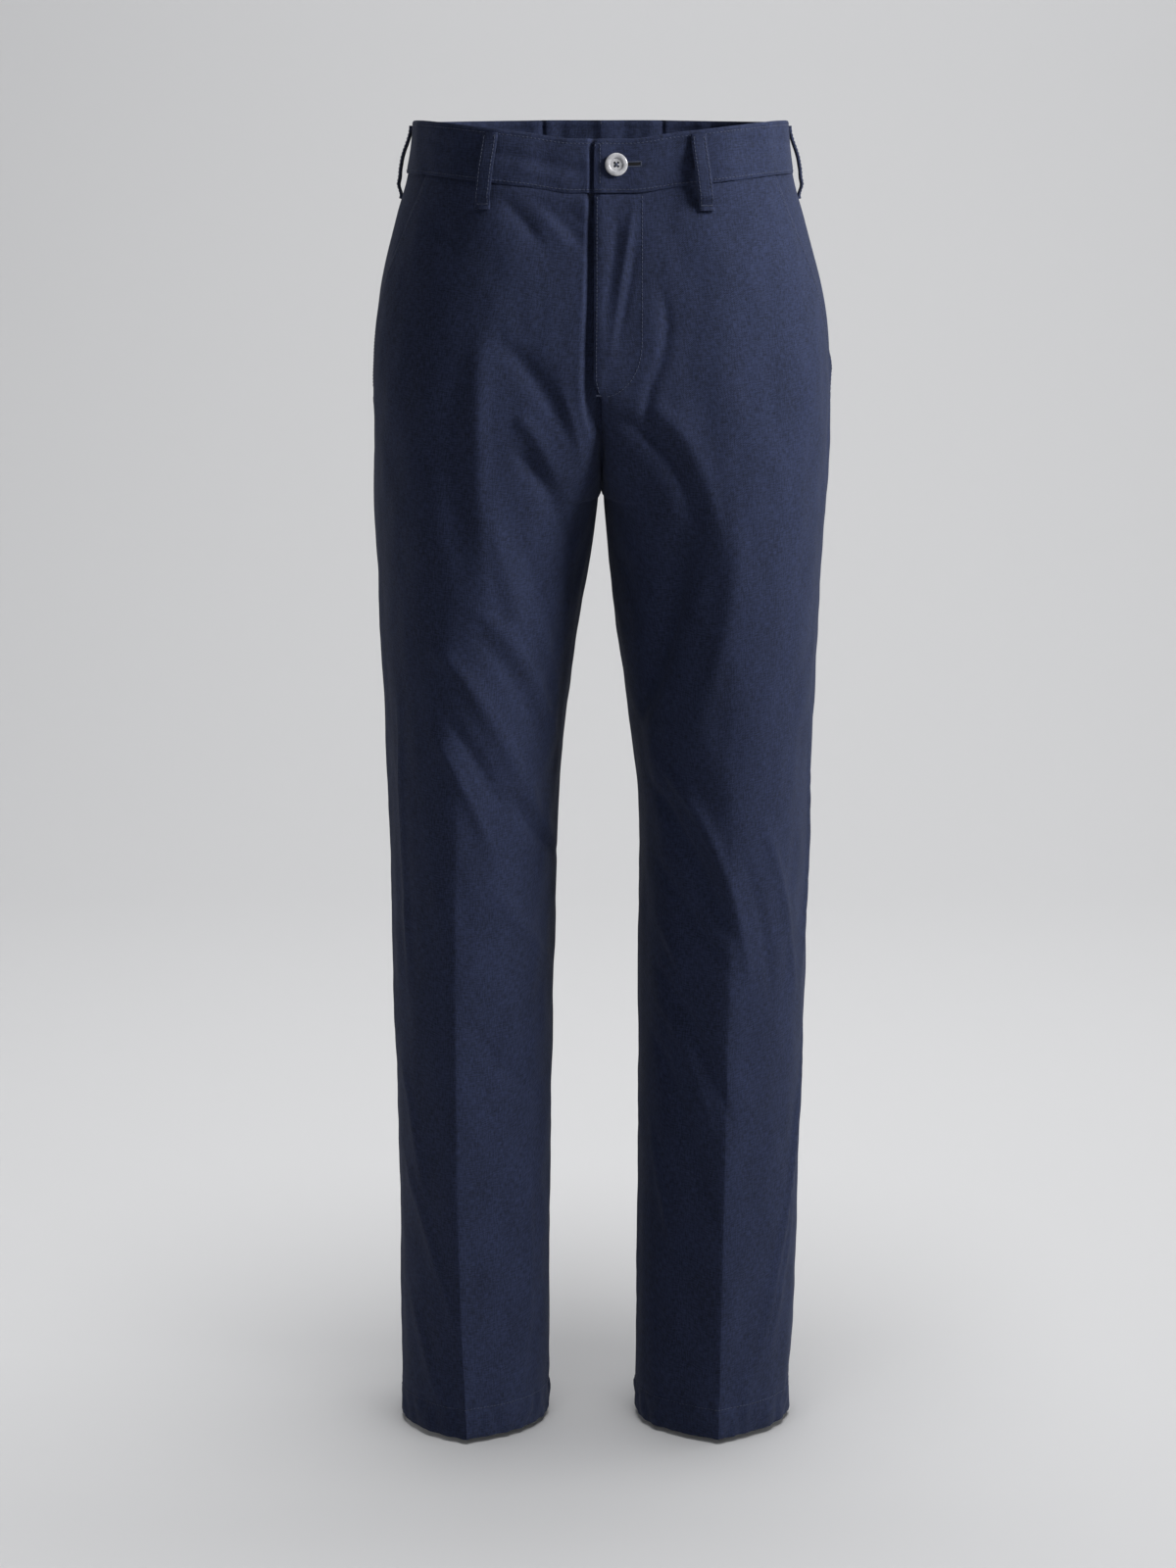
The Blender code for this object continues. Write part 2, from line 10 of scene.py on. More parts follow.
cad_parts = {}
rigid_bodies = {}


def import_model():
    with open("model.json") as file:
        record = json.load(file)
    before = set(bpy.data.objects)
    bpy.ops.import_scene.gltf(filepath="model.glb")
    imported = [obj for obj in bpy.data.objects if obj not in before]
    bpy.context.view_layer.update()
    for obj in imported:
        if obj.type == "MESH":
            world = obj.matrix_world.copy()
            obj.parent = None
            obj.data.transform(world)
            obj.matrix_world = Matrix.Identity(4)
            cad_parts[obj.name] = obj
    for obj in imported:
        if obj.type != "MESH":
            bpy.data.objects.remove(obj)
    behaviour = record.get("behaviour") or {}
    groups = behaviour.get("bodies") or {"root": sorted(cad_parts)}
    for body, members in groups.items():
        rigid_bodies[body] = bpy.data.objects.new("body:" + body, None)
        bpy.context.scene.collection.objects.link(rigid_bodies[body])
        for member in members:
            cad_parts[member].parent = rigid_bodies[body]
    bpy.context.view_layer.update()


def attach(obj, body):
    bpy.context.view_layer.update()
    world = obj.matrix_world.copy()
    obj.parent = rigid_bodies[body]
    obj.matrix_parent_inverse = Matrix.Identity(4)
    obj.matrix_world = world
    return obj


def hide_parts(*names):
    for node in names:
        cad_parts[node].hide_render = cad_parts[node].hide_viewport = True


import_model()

# ---------------------------------------------------------------------------
# Camera. A long lens in front of the waist, tilted down the legs, so that the
# inside of the back waistband just shows over the front one.
CAMERA_PLACE = (-0.0105, -2.70, -0.08)
CAMERA_TILT = 9.29           # degrees below level
CAMERA_LENS = 78.3           # millimetres, on a 36 mm sensor
camera_data = bpy.data.cameras.new("camera")
camera_data.sensor_width = 36
camera_data.lens = CAMERA_LENS
camera = bpy.data.objects.new("camera", camera_data)
camera.location = CAMERA_PLACE
camera.rotation_euler = (math.radians(90 - CAMERA_TILT), 0, 0)
bpy.context.collection.objects.link(camera)
bpy.context.scene.camera = camera

# ---------------------------------------------------------------------------
# Fronts. Two panels of navy cotton twill, each one piece from the waistband to
# the hem, with a pressed crease and a slanted cut for the pocket. The left one
# laps over the right at the fly.
LENGTH = 1.050               # side seam, waistband included
BAND = 0.040                 # waistband height
FRONT_DIP = 0.0155           # the top edge is this much lower at the centre front
BACK_RISE = 0.0048           # and this much higher at the centre back
CROTCH = -0.289              # height of the fork
CROTCH_Y = 0.025             # how far back the fork lies
TWILL = 0.0009               # one layer of cloth
HEM = 0.025                  # turned-up depth
SEAM_GAP = 0.00004           # between the folded edges of two panels
FLY_LAP = 0.0062
FLY_BOTTOM = -0.207
FLY_TUCK = 0.0062            # the right front dips this far behind the lap
FLY_WIDTH = 0.031
FLY_TURN = 0.72
POCKET_SHARE = 0.80
POCKET_BOTTOM = -0.214
PANEL_ROWS = 300
PANEL_COLUMNS = 96

# Widths of each half in metres from the centre line, by height.
WIDTH_COLUMNS = ("height", "inseam", "side", "front_crest", "back_crest")
WIDTHS = {
    "left": (
        (0.030, 0.0002, 0.1445, 0.055, 0.055),
        (-0.020, 0.0002, 0.1458, 0.056, 0.058),
        (-0.040, 0.0002, 0.1490, 0.057, 0.060),
        (-0.075, 0.0002, 0.1580, 0.060, 0.066),
        (-0.120, 0.0002, 0.1700, 0.066, 0.074),
        (-0.165, 0.0002, 0.1772, 0.074, 0.082),
        (-0.240, 0.0002, 0.1796, 0.086, 0.090),
        (-0.290, 0.0014, 0.1780, 0.092, 0.092),
        (-0.335, 0.0050, 0.1760, 0.095, 0.092),
        (-0.430, 0.0170, 0.1722, 0.099, 0.094),
        (-0.520, 0.0280, 0.1687, 0.101, 0.096),
        (-0.650, 0.0306, 0.1658, 0.101, 0.098),
        (-0.780, 0.0311, 0.1627, 0.099, 0.097),
        (-0.920, 0.0307, 0.1598, 0.097, 0.095),
        (-1.060, 0.0294, 0.1555, 0.095, 0.092),
    ),
    "right": (
        (0.030, 0.0002, 0.1458, 0.055, 0.055),
        (-0.020, 0.0002, 0.1476, 0.056, 0.058),
        (-0.040, 0.0002, 0.1508, 0.057, 0.060),
        (-0.075, 0.0002, 0.1602, 0.060, 0.066),
        (-0.120, 0.0002, 0.1716, 0.067, 0.074),
        (-0.165, 0.0002, 0.1782, 0.076, 0.082),
        (-0.240, 0.0002, 0.1797, 0.090, 0.090),
        (-0.290, 0.0016, 0.1793, 0.098, 0.092),
        (-0.335, 0.0074, 0.1775, 0.102, 0.094),
        (-0.430, 0.0232, 0.1738, 0.108, 0.099),
        (-0.520, 0.0333, 0.1713, 0.112, 0.103),
        (-0.650, 0.0382, 0.1688, 0.1145, 0.106),
        (-0.780, 0.0401, 0.1669, 0.1150, 0.106),
        (-0.920, 0.0412, 0.1648, 0.1135, 0.106),
        (-1.060, 0.0431, 0.1648, 0.1080, 0.106),
    ),
}

# Depths shared by both halves, how round the section is at each crest (1 round,
# 0 a sharp crease), and its fullness.
DEPTH_COLUMNS = ("height", "front", "side", "back", "inseam", "front_round", "back_round", "full")
DEPTHS = (
    (0.030, -0.1110, 0.000, 0.1130, 0.025, 1.00, 1.00, 0.60),
    (-0.040, -0.1165, 0.000, 0.1210, 0.025, 1.00, 1.00, 0.60),
    (-0.120, -0.1240, 0.003, 0.1420, 0.025, 1.00, 1.00, 0.60),
    (-0.200, -0.1265, 0.006, 0.1490, 0.025, 1.00, 1.00, 0.60),
    (-0.290, -0.1210, 0.010, 0.1370, 0.025, 1.00, 1.00, 0.58),
    (-0.400, -0.1080, 0.012, 0.1210, 0.022, 1.00, 1.00, 0.56),
    (-0.550, -0.0900, 0.014, 0.1080, 0.020, 0.90, 0.95, 0.56),
    (-0.700, -0.0780, 0.016, 0.1030, 0.020, 0.60, 0.80, 0.57),
    (-0.900, -0.0680, 0.018, 0.1010, 0.020, 0.42, 0.70, 0.58),
    (-1.060, -0.0620, 0.020, 0.1010, 0.020, 0.35, 0.65, 0.58),
)
RISE_FRONT = {"top": -0.195, "power": 1.70}
RISE_BACK = {"top": -0.165, "power": 2.10}
FORK_EASE = (-0.215, -0.360)   # the cloth beside the centre seams eases in over these heights
FORK_ROUND = (-0.190, -0.270)  # and turns the corner of the inseam round over these
CENTRE_PULL = 6                # how closely the centre seam's pull keeps to the seam

# Creases pulled into the cloth, in millimetres. Each runs from its start through its middle
# to its end, as x and z on the panel, and has a half width and a height; a trough is
# negative.
CREASES = {
    # start x, start z, middle x, middle z, end x, end z, half width, height
    ("right", "front"): (
        (-84, -52, -64, -70, -42, -98, 5, -3.0),
        (-72, -50, -40, -68, -10, -98, 6, -3.2),
        (-78, -48, -50, -66, -26, -96, 4, 1.8),
        (-46, -56, -28, -66, -8, -84, 5, -2.4),
        (-40, -52, -20, -60, -10, -70, 4, 1.4),
        (-130, -78, -118, -88, -106, -102, 8, -1.8),
        (-74, -168, -48, -196, -22, -240, 9, -4.6),
        (-90, -160, -94, -240, -88, -350, 12, 4.2),
        (-106, -180, -112, -260, -104, -360, 14, -3.0),
        (-66, -222, -50, -238, -34, -276, 8, 4.0),
        (-64, -250, -44, -270, -24, -318, 8, -5.0),
        (-30, -200, -22, -228, -14, -262, 5, 2.0),
        (-82, -300, -72, -350, -52, -400, 9, 3.2),
        (-64, -310, -50, -350, -36, -390, 8, -2.6),
        (-96, -370, -60, -412, -36, -480, 7, 4.2),
        (-94, -392, -66, -428, -46, -478, 6, -3.0),
        (-52, -374, -42, -404, -34, -446, 5, 2.4),
        (-130, -400, -88, -452, -38, -572, 9, 4.8),
        (-122, -448, -98, -488, -76, -530, 8, -4.2),
        (-130, -468, -106, -512, -80, -580, 6, 3.2),
        (-74, -518, -54, -546, -36, -580, 6, -3.8),
        (-86, -590, -64, -626, -42, -664, 7, 3.0),
        (-158, -430, -157, -550, -152, -680, 4, 2.8),
        (-160, -740, -150, -790, -140, -850, 5, 1.8),
        (-160, -815, -140, -880, -118, -955, 6, 2.0),
        (-156, -930, -143, -980, -128, -1030, 6, 2.0),
        (-60, -830, -58, -920, -63, -1015, 4, 1.4),
        (-104, -700, -80, -740, -50, -764, 8, -2.0),
    ),
    ("right", "back"): (
        (-22, -318, -68, -286, -120, -272, 12, -6.5),
        (-30, -350, -72, -322, -116, -318, 9, -5.0),
        (-40, -382, -80, -356, -124, -360, 8, 3.4),
        (-12, -75, -50, -88, -92, -72, 9, -2.6),
        (-154, -482, -104, -520, -56, -586, 11, -5.6),
        (-150, -540, -106, -586, -62, -640, 9, 4.2),
        (-150, -600, -116, -640, -84, -700, 8, -3.0),
        (-50, -900, -92, -950, -150, -975, 9, -3.4),
        (-56, -760, -80, -820, -90, -900, 10, 2.4),
    ),
    ("left", "front"): (
        (45, -130, 48, -160, 38, -200, 5, -2.8),
        (40, -190, 34, -216, 37, -246, 5, -2.8),
        (25, -56, 18, -100, 6, -176, 3.5, 2.3),
        (12, -64, 9, -105, 2, -150, 4, -1.5),
        (26, -92, 21, -120, 12, -165, 3, -1.3),
        (4, -222, 48, -250, 76, -318, 8, -5.0),
        (30, -214, 64, -240, 94, -320, 10, 3.0),
        (66, -296, 50, -372, 28, -470, 17, -11.5),
        (100, -300, 96, -380, 66, -480, 14, 4.5),
        (46, -320, 42, -380, 36, -440, 8, 2.2),
        (48, -500, 88, -556, 116, -660, 8, 5.2),
        (38, -512, 70, -566, 102, -632, 9, -5.2),
        (44, -576, 72, -620, 100, -660, 7, -2.6),
        (46, -630, 58, -648, 68, -672, 6, 2.6),
        (44, -664, 74, -712, 104, -784, 7, -3.6),
        (44, -690, 68, -728, 88, -790, 5, 2.2),
        (42, -722, 66, -784, 92, -880, 7, -3.4),
        (40, -790, 48, -850, 60, -900, 5, 1.8),
        (126, -540, 144, -602, 154, -684, 5, 2.8),
        (112, -570, 128, -630, 136, -700, 7, -2.2),
        (164, -460, 166, -560, 160, -680, 4, 2.2),
        (163, -720, 152, -850, 128, -990, 4, 3.2),
        (156, -860, 148, -920, 138, -980, 4, 2.0),
        (172, -100, 178, -180, 176, -300, 5, 1.6),
    ),
    ("left", "back"): (
        (18, -312, 62, -282, 114, -272, 12, -6.6),
        (28, -348, 74, -326, 120, -320, 9, -4.8),
        (44, -386, 84, -352, 126, -352, 8, 3.0),
        (14, -80, 48, -92, 88, -78, 9, -2.4),
        (42, -470, 84, -518, 134, -560, 11, -5.8),
        (50, -540, 92, -578, 138, -612, 9, 4.0),
        (54, -610, 90, -650, 126, -690, 8, -2.8),
        (142, -880, 90, -934, 44, -958, 9, -3.4),
        (130, -740, 104, -800, 96, -880, 10, 2.2),
    ),
}
CREASE_STEPS = 8


def along(columns, table, name, height):
    """One column of a table at any height, on a smooth curve through its rows."""
    rows = np.array(sorted(table))
    heights = rows[:, 0]
    values = rows[:, columns.index(name)]
    slopes = np.gradient(values, heights)
    below = np.clip(np.searchsorted(heights, height) - 1, 0, len(heights) - 2)
    step = heights[below + 1] - heights[below]
    t = np.clip((height - heights[below]) / step, 0, 1)
    rise = t * t * (3 - 2 * t)
    ends = values[below] * (1 - rise) + values[below + 1] * rise
    lean_in = slopes[below] * step * t * (1 - t) ** 2
    lean_out = slopes[below + 1] * step * t * t * (1 - t)
    return ends + lean_in - lean_out


def between(at, places, points):
    """Points read off a line at any places along it."""
    return np.stack([np.interp(at, places, points[:, axis]) for axis in range(3)], axis=-1)


def smooth_step(start, end, value):
    """0 before start, 1 past end, and a smooth S between them."""
    t = np.clip((value - start) / (end - start), 0, 1)
    return t * t * (3 - 2 * t)


def seat_line(rise, crest, height):
    """Depth of the centre seam at a height: on the crest above, curving to the fork below."""
    down = np.clip((rise["top"] - height) / (rise["top"] - CROTCH), 0, 1)
    left = (1 - down ** rise["power"]) ** (1 / rise["power"])
    return CROTCH_Y + (crest - CROTCH_Y) * left


def quarter(flank, crest, flank_round, crest_round, full, t):
    """A quarter of a section, from its flank (t = 0) to its crest (t = 1)."""
    across = crest[0] - flank[0]
    deep = crest[1] - flank[1]
    flank_reach = 1 / 3 + flank_round * (full - 1 / 3)
    crest_reach = 1 / 3 + crest_round * (full - 1 / 3)
    handle_1 = (flank[0] + (1 - flank_round) / 3 * across, flank[1] + flank_reach * deep)
    handle_2 = (crest[0] - crest_reach * across, crest[1] - (1 - crest_round) / 3 * deep)
    weights = ((1 - t) ** 3, 3 * (1 - t) ** 2 * t, 3 * (1 - t) * t ** 2, t ** 3)
    corners = (flank, handle_1, handle_2, crest)
    return [sum(w * corner[axis] for w, corner in zip(weights, corners)) for axis in (0, 1)]


def form(half, share, height):
    """Points of the form by half, share of the way round and height. Share 0 is the centre
    front or inseam, 1 the side seam and 2 the centre back; past 0 or 2 is the other half."""
    share, height = np.broadcast_arrays(np.asarray(share, float), np.asarray(height, float))
    past = (share < 0) | (share > 2)
    if past.any():
        other = "left" if half == "right" else "right"
        here = form(half, np.clip(share, 0, 2), height)
        there = form(other, np.clip(np.where(share < 0, -share, 4 - share), 0, 2), height)
        return np.where(past[..., None], there, here)

    def width(name):
        return along(WIDTH_COLUMNS, WIDTHS[half], name, height)

    def depth(name):
        return along(DEPTH_COLUMNS, DEPTHS, name, height)

    above = height > CROTCH
    front = depth("front")
    back = depth("back")
    full = depth("full")
    centre_x = np.where(above, SEAM_GAP / 2, np.maximum(width("inseam"), SEAM_GAP / 2))
    inseam = depth("inseam")
    front_centre = np.where(above, seat_line(RISE_FRONT, front - 0.001, height), inseam)
    back_centre = np.where(above, seat_line(RISE_BACK, back - 0.001, height), inseam)
    eased = smooth_step(*FORK_EASE, height)
    front_flank = front + (inseam - front) * eased
    back_flank = back + (inseam - back) * eased
    centre_round = smooth_step(*FORK_ROUND, height)
    side = (width("side"), depth("side"))
    front_crest = (width("front_crest"), front)
    back_crest = (width("back_crest"), back)
    front_round = np.clip(depth("front_round"), 0, 1)
    back_round = np.clip(depth("back_round"), 0, 1)
    which = np.minimum(np.floor(share * 2), 3).astype(int)
    t = share * 2 - which
    parts = (
        quarter((centre_x, front_flank), front_crest, centre_round, front_round, full, t),
        quarter(side, front_crest, 1.0, front_round, full, 1 - t),
        quarter(side, back_crest, 1.0, back_round, full, t),
        quarter((centre_x, back_flank), back_crest, centre_round, back_round, full, 1 - t),
    )
    x = np.choose(which, [part[0] for part in parts])
    y = np.choose(which, [part[1] for part in parts])
    y = y + np.where(which == 0, (front_centre - front_flank) * (1 - t) ** CENTRE_PULL, 0)
    y = y + np.where(which == 3, (back_centre - back_flank) * t ** CENTRE_PULL, 0)
    mirror = 1 if half == "left" else -1
    return np.stack([mirror * x, y, height + 0 * x], axis=-1)


def outward(half, share, height):
    """Unit normals of the form, pointing out of the garment."""
    reach = 0.01
    middle = np.where(height > RISE_BACK["top"], share, np.clip(share, reach, 2 - reach))
    run = form(half, middle + reach, height) - form(half, middle - reach, height)
    drop = form(half, share, height - 0.004) - form(half, share, height + 0.004)
    normal = np.cross(drop, run) * (1 if half == "left" else -1)
    return normal / np.linalg.norm(normal, axis=-1, keepdims=True)


def spot(half, side, x, height):
    """The point of the form's front or back that stands at x."""
    shares = np.linspace(0.0, 0.985, 160) if side == "front" else np.linspace(2.0, 1.015, 160)
    points = form(half, shares, height)
    order = np.argsort(abs(points[:, 0]))
    share = np.interp(abs(x), abs(points[order, 0]), shares[order])
    return form(half, share, height)


def crease_lift(half, points):
    """How far the creases of one half lift or sink each point, in metres."""
    lift = np.zeros(points.shape[:-1])
    creases = [(side, row) for side in ("front", "back") for row in CREASES[half, side]]
    for side, row in creases:
        start, middle, end = np.reshape(row[:6], (3, 2)) / 1000
        spread, height = row[6:]
        t = np.linspace(0, 1, CREASE_STEPS + 1)[:, None]
        bow = middle * 2 - (start + end) / 2
        flat = (1 - t) ** 2 * start + 2 * t * (1 - t) * bow + t * t * end
        path = np.array([spot(half, side, x, z) for x, z in flat])
        nearest = np.full(points.shape[:-1], 1.0)
        way = np.zeros(points.shape[:-1])
        for step, (low, high) in enumerate(zip(path, path[1:])):
            run = high - low
            part = np.clip((points - low) @ run / (run @ run), 0, 1)
            away = np.linalg.norm(points - low - part[..., None] * run, axis=-1)
            way = np.where(away < nearest, (step + part) / CREASE_STEPS, way)
            nearest = np.minimum(nearest, away)
        ease = np.sin(np.pi * np.clip(way, 0.03, 0.97)) ** 0.6
        width = spread / 1000 * (0.70 + 0.30 * ease)
        lift += height / 1000 * ease / (1 + (nearest / width) ** 2) ** 1.5
    return lift


SLOW_DRAPE = {"seed": 11, "size": 0.0016, "longest": 0.160, "shortest": 0.040}
FINE_DRAPE = {"seed": 12, "size": 0.0005, "longest": 0.040, "shortest": 0.014}
HEM_PUCKER = {"seed": 13, "size": 0.0009, "longest": 0.016, "shortest": 0.009}
DRAPE_WAVES = 26


def drape(points, seed, size, longest, shortest):
    """Soft unevenness that no cloth is without: waves of mixed length and direction."""
    random = np.random.default_rng(seed)
    lift = np.zeros(points.shape[:-1])
    for _ in range(DRAPE_WAVES):
        length = shortest * (longest / shortest) ** random.random()
        lean = random.normal(size=3) * (1.0, 1.0, 0.45)
        lean /= np.linalg.norm(lean)
        lift += length * np.sin(points @ lean * 2 * np.pi / length + random.random() * 2 * np.pi)
    return size * lift / (longest * math.sqrt(DRAPE_WAVES))


def band_top(share):
    """Height of the waistband's top edge: it dips at the front and rises at the back."""
    dip = FRONT_DIP * (1 - smooth_step(0.25, 0.93, share))
    return BACK_RISE * smooth_step(0.85, 1.60, share) - dip


def pocket_mouth(height):
    """Share at which a front ends: the slanted mouth, then the side seam."""
    down = np.clip((-BAND - height) / (-BAND - POCKET_BOTTOM), 0, 1)
    return POCKET_SHARE + (1 - POCKET_SHARE) * down


def to_mouth(share, height):
    """Shares of a front, its outer half squeezed to end at the pocket mouth."""
    return np.where(share > 0.5, 0.5 + (share - 0.5) * (pocket_mouth(height) * 2 - 1), share)


def lap_fade(height, below=0.0):
    """1 down the fly, easing to 0 past its bottom, where the fronts meet edge to edge."""
    return 1 - smooth_step(FLY_BOTTOM + 0.012 - below, FLY_BOTTOM - 0.008 - below, height)


def panel_grid(half, side):
    """Shares and heights over a panel: rows crowd at the fork, columns at seams and crease."""
    even = np.linspace(0, 1, PANEL_COLUMNS + 1)
    spread = even - 0.6 * np.sin(4 * np.pi * even) / (4 * np.pi)
    share = spread if side == "front" else 2 - spread
    down = np.linspace(0, 1, PANEL_ROWS + 1)[:, None]
    fine = np.linspace(-BAND, -LENGTH, 800)
    edge = form(half, share[0], fine)
    run = np.concatenate([[0], np.cumsum(np.linalg.norm(np.diff(edge, axis=0), axis=1))])
    inner = np.interp(down, run / run[-1], fine)
    outer = -BAND - down * (LENGTH - BAND)
    height = inner + (outer - inner) * smooth_step(0, 1, spread)
    top = band_top(to_mouth(share, -BAND) if side == "front" else share) - BAND + 0.0012
    height = height + (top - height[0]) * (1 - smooth_step(0, 0.20, down))
    share = to_mouth(share, height) if side == "front" else np.broadcast_to(share, height.shape)
    if (half, side) == ("left", "front"):
        lap = FLY_LAP / (2 * along(WIDTH_COLUMNS, WIDTHS[half], "front_crest", height))
        share = share - lap * lap_fade(height) * (1 - spread) ** 12
    return share, height


def edge_distance(points):
    """Metres from each point of a grid to the nearer end of its row, along the row."""
    steps = np.linalg.norm(np.diff(points, axis=1), axis=2)
    run = np.concatenate([np.zeros((len(points), 1)), np.cumsum(steps, axis=1)], axis=1)
    return run, run[:, -1:] - run


def groove(distance, width, deep):
    """A soft groove, or with a negative depth a ridge, by the distance from its line."""
    return deep * np.exp(-(distance / width) ** 2)


PRESSED = (-0.56, -0.70)       # the pressed crease comes up over these heights
PRESSED_ROUND = 0.020          # share over which its edge is rounded
TUCK_SHARES = (0.125, 0.070)   # the right front goes under the lap between these


def panel_surface(half, side):
    """The outer face of a front or back, with its creases, seams and hem worked in."""
    share, height = panel_grid(half, side)
    base = form(half, share, height)
    normal = outward(half, share, height)
    top = height[0] - height
    from_inner, from_outer = edge_distance(base)
    lift = crease_lift(half, base)
    lift += drape(base, **SLOW_DRAPE)
    lift += drape(base, **FINE_DRAPE)
    lift *= smooth_step(0, 0.030, top)
    lift -= groove(top, width=0.0022, deep=0.0016)
    for distance in (from_inner, from_outer):
        lift -= groove(distance, width=0.0018, deep=0.0007)
    above_hem = height + LENGTH
    pucker = drape(base, **HEM_PUCKER) * smooth_step(HEM + 0.012, HEM - 0.004, above_hem)
    doubled = 0.0004 * smooth_step(HEM + 0.001, HEM - 0.001, above_hem)
    lift += pucker + doubled - groove(above_hem - HEM, width=0.0022, deep=0.0005)
    lift -= groove(above_hem, width=0.0015, deep=0.0008)
    if side == "front":
        away = abs(share - 0.5) / PRESSED_ROUND
        lift -= 0.0013 * smooth_step(*PRESSED, height) * (np.sqrt(away ** 2 + 1) - away)
    if (half, side) == ("right", "front"):
        lift -= FLY_TUCK * smooth_step(*TUCK_SHARES, share) * lap_fade(height, below=0.024)
    outer = base + normal * lift[..., None]
    sewn = (height > CROTCH) & ((side == "back") | (height < FLY_BOTTOM + 0.004))
    at_seam = np.where(base[:, 0, 0] > 0, 1, -1) * SEAM_GAP / 2
    outer[:, 0, 0] = np.where(sewn[:, 0], at_seam, outer[:, 0, 0])
    return outer, normal, share, height


def shell(name, outer, inner, ring=False):
    """A closed wall between two grids of points. A ring joins the ends of its rows. It keeps
    each point's place on the cloth in metres, across and along the grain."""
    rows, columns = outer.shape[:2]
    count = rows * columns
    row = np.arange(rows - 1)[:, None]
    column = np.arange(columns if ring else columns - 1)[None]
    after = (column + 1) % columns

    def quads(a, b, c, d):
        return np.stack(np.broadcast_arrays(a, b, c, d), axis=-1).reshape(-1, 4)

    face = quads(row * columns + column, (row + 1) * columns + column,
                 (row + 1) * columns + after, row * columns + after)
    faces = [face, face[:, ::-1] + count]
    end = (rows - 1) * columns
    first, second = column[0], after[0]
    faces.append(quads(first, second, second + count, first + count))
    faces.append(quads(end + second, end + first, end + first + count, end + second + count))
    if not ring:
        low, high = row[:, 0] * columns, (row[:, 0] + 1) * columns
        tail = columns - 1
        faces.append(quads(high, low, low + count, high + count))
        faces.append(quads(low + tail, high + tail, high + tail + count, low + tail + count))
    vertices = np.concatenate([outer.reshape(-1, 3), inner.reshape(-1, 3)])
    steps_across = np.linalg.norm(np.diff(outer, axis=1), axis=2)
    steps_down = np.linalg.norm(np.diff(outer, axis=0), axis=2)
    across = np.concatenate([np.zeros((rows, 1)), np.cumsum(steps_across, axis=1)], axis=1)
    down = np.concatenate([np.zeros((1, columns)), np.cumsum(steps_down, axis=0)], axis=0)
    middle = columns // 2
    place = np.stack([across - across[:, middle:middle + 1], down, 0 * down], axis=-1)
    return mesh_piece(name, vertices, np.concatenate(faces), np.concatenate([place, place]))


SHARP_EDGE = 60              # degrees; folds flatter than this shade smooth


def mesh_piece(name, vertices, faces, grain):
    """One mesh object from arrays, its faces turned outward."""
    mesh = bpy.data.meshes.new(name)
    mesh.from_pydata(vertices.tolist(), [], faces.tolist())
    corners = vertices[faces[:, :3]]
    turn = np.einsum("ij,ij->i", corners[:, 0], np.cross(corners[:, 1], corners[:, 2])).sum()
    if turn < 0:
        mesh.flip_normals()
    layer = mesh.attributes.new("grain", "FLOAT_VECTOR", "POINT")
    layer.data.foreach_set("vector", grain.reshape(-1).astype(np.float32))
    mesh.shade_smooth()
    mesh.set_sharp_from_angle(angle=math.radians(SHARP_EDGE))
    piece = bpy.data.objects.new(name, mesh)
    bpy.context.collection.objects.link(piece)
    return piece


def twill_weave():
    """Node group for the look of yarn-dyed twill: the diagonal rib, slubs in both
    directions and a slow mottle, as a shade mask and a height."""
    group = bpy.data.node_groups.new("twill weave", "ShaderNodeTree")
    socket = group.interface.new_socket
    socket("Grain", in_out="INPUT", socket_type="NodeSocketVector")
    socket("Rib", in_out="INPUT", socket_type="NodeSocketFloat").default_value = 0.0011
    socket("Slub", in_out="INPUT", socket_type="NodeSocketFloat").default_value = 1.0
    socket("Shade", in_out="OUTPUT", socket_type="NodeSocketFloat")
    socket("Height", in_out="OUTPUT", socket_type="NodeSocketFloat")
    nodes, links = group.nodes, group.links
    inside = nodes.new("NodeGroupInput")
    out = nodes.new("NodeGroupOutput")

    def calc(operation, *values):
        node = nodes.new("ShaderNodeMath")
        node.operation = operation
        for place, value in enumerate(values):
            if isinstance(value, (int, float)):
                node.inputs[place].default_value = value
            else:
                links.new(value, node.inputs[place])
        return node.outputs[0]

    def noise(stretch, detail):
        scaled = nodes.new("ShaderNodeMapping")
        scaled.inputs["Scale"].default_value = stretch
        links.new(inside.outputs["Grain"], scaled.inputs["Vector"])
        texture = nodes.new("ShaderNodeTexNoise")
        texture.inputs["Scale"].default_value = 1.0
        texture.inputs["Detail"].default_value = detail
        links.new(scaled.outputs[0], texture.inputs["Vector"])
        return calc("SUBTRACT", texture.outputs[0], 0.5)

    split = nodes.new("ShaderNodeSeparateXYZ")
    links.new(inside.outputs["Grain"], split.inputs[0])
    slant = calc("SUBTRACT", split.outputs["X"], calc("MULTIPLY", split.outputs["Y"], 0.55))
    turns = calc("MULTIPLY", calc("DIVIDE", slant, inside.outputs["Rib"]), 2 * math.pi)
    rib = calc("SINE", calc("ADD", turns, calc("MULTIPLY", noise((300, 300, 1), 1.0), 3.0)))
    warp = noise((900, 170, 1), 2.0)
    weft = noise((190, 1000, 1), 2.0)
    mottle = noise((38, 22, 1), 3.0)
    slubs = calc("MULTIPLY", calc("ADD", warp, weft), inside.outputs["Slub"])
    shade = calc("ADD", calc("MULTIPLY", slubs, 0.85), calc("MULTIPLY", mottle, 0.28))
    shade = calc("ADD", shade, calc("MULTIPLY", rib, 0.05))
    links.new(calc("ADD", shade, 0.5), out.inputs["Shade"])
    height = calc("ADD", calc("MULTIPLY", rib, 0.35), calc("MULTIPLY", slubs, 1.3))
    links.new(height, out.inputs["Height"])
    return group


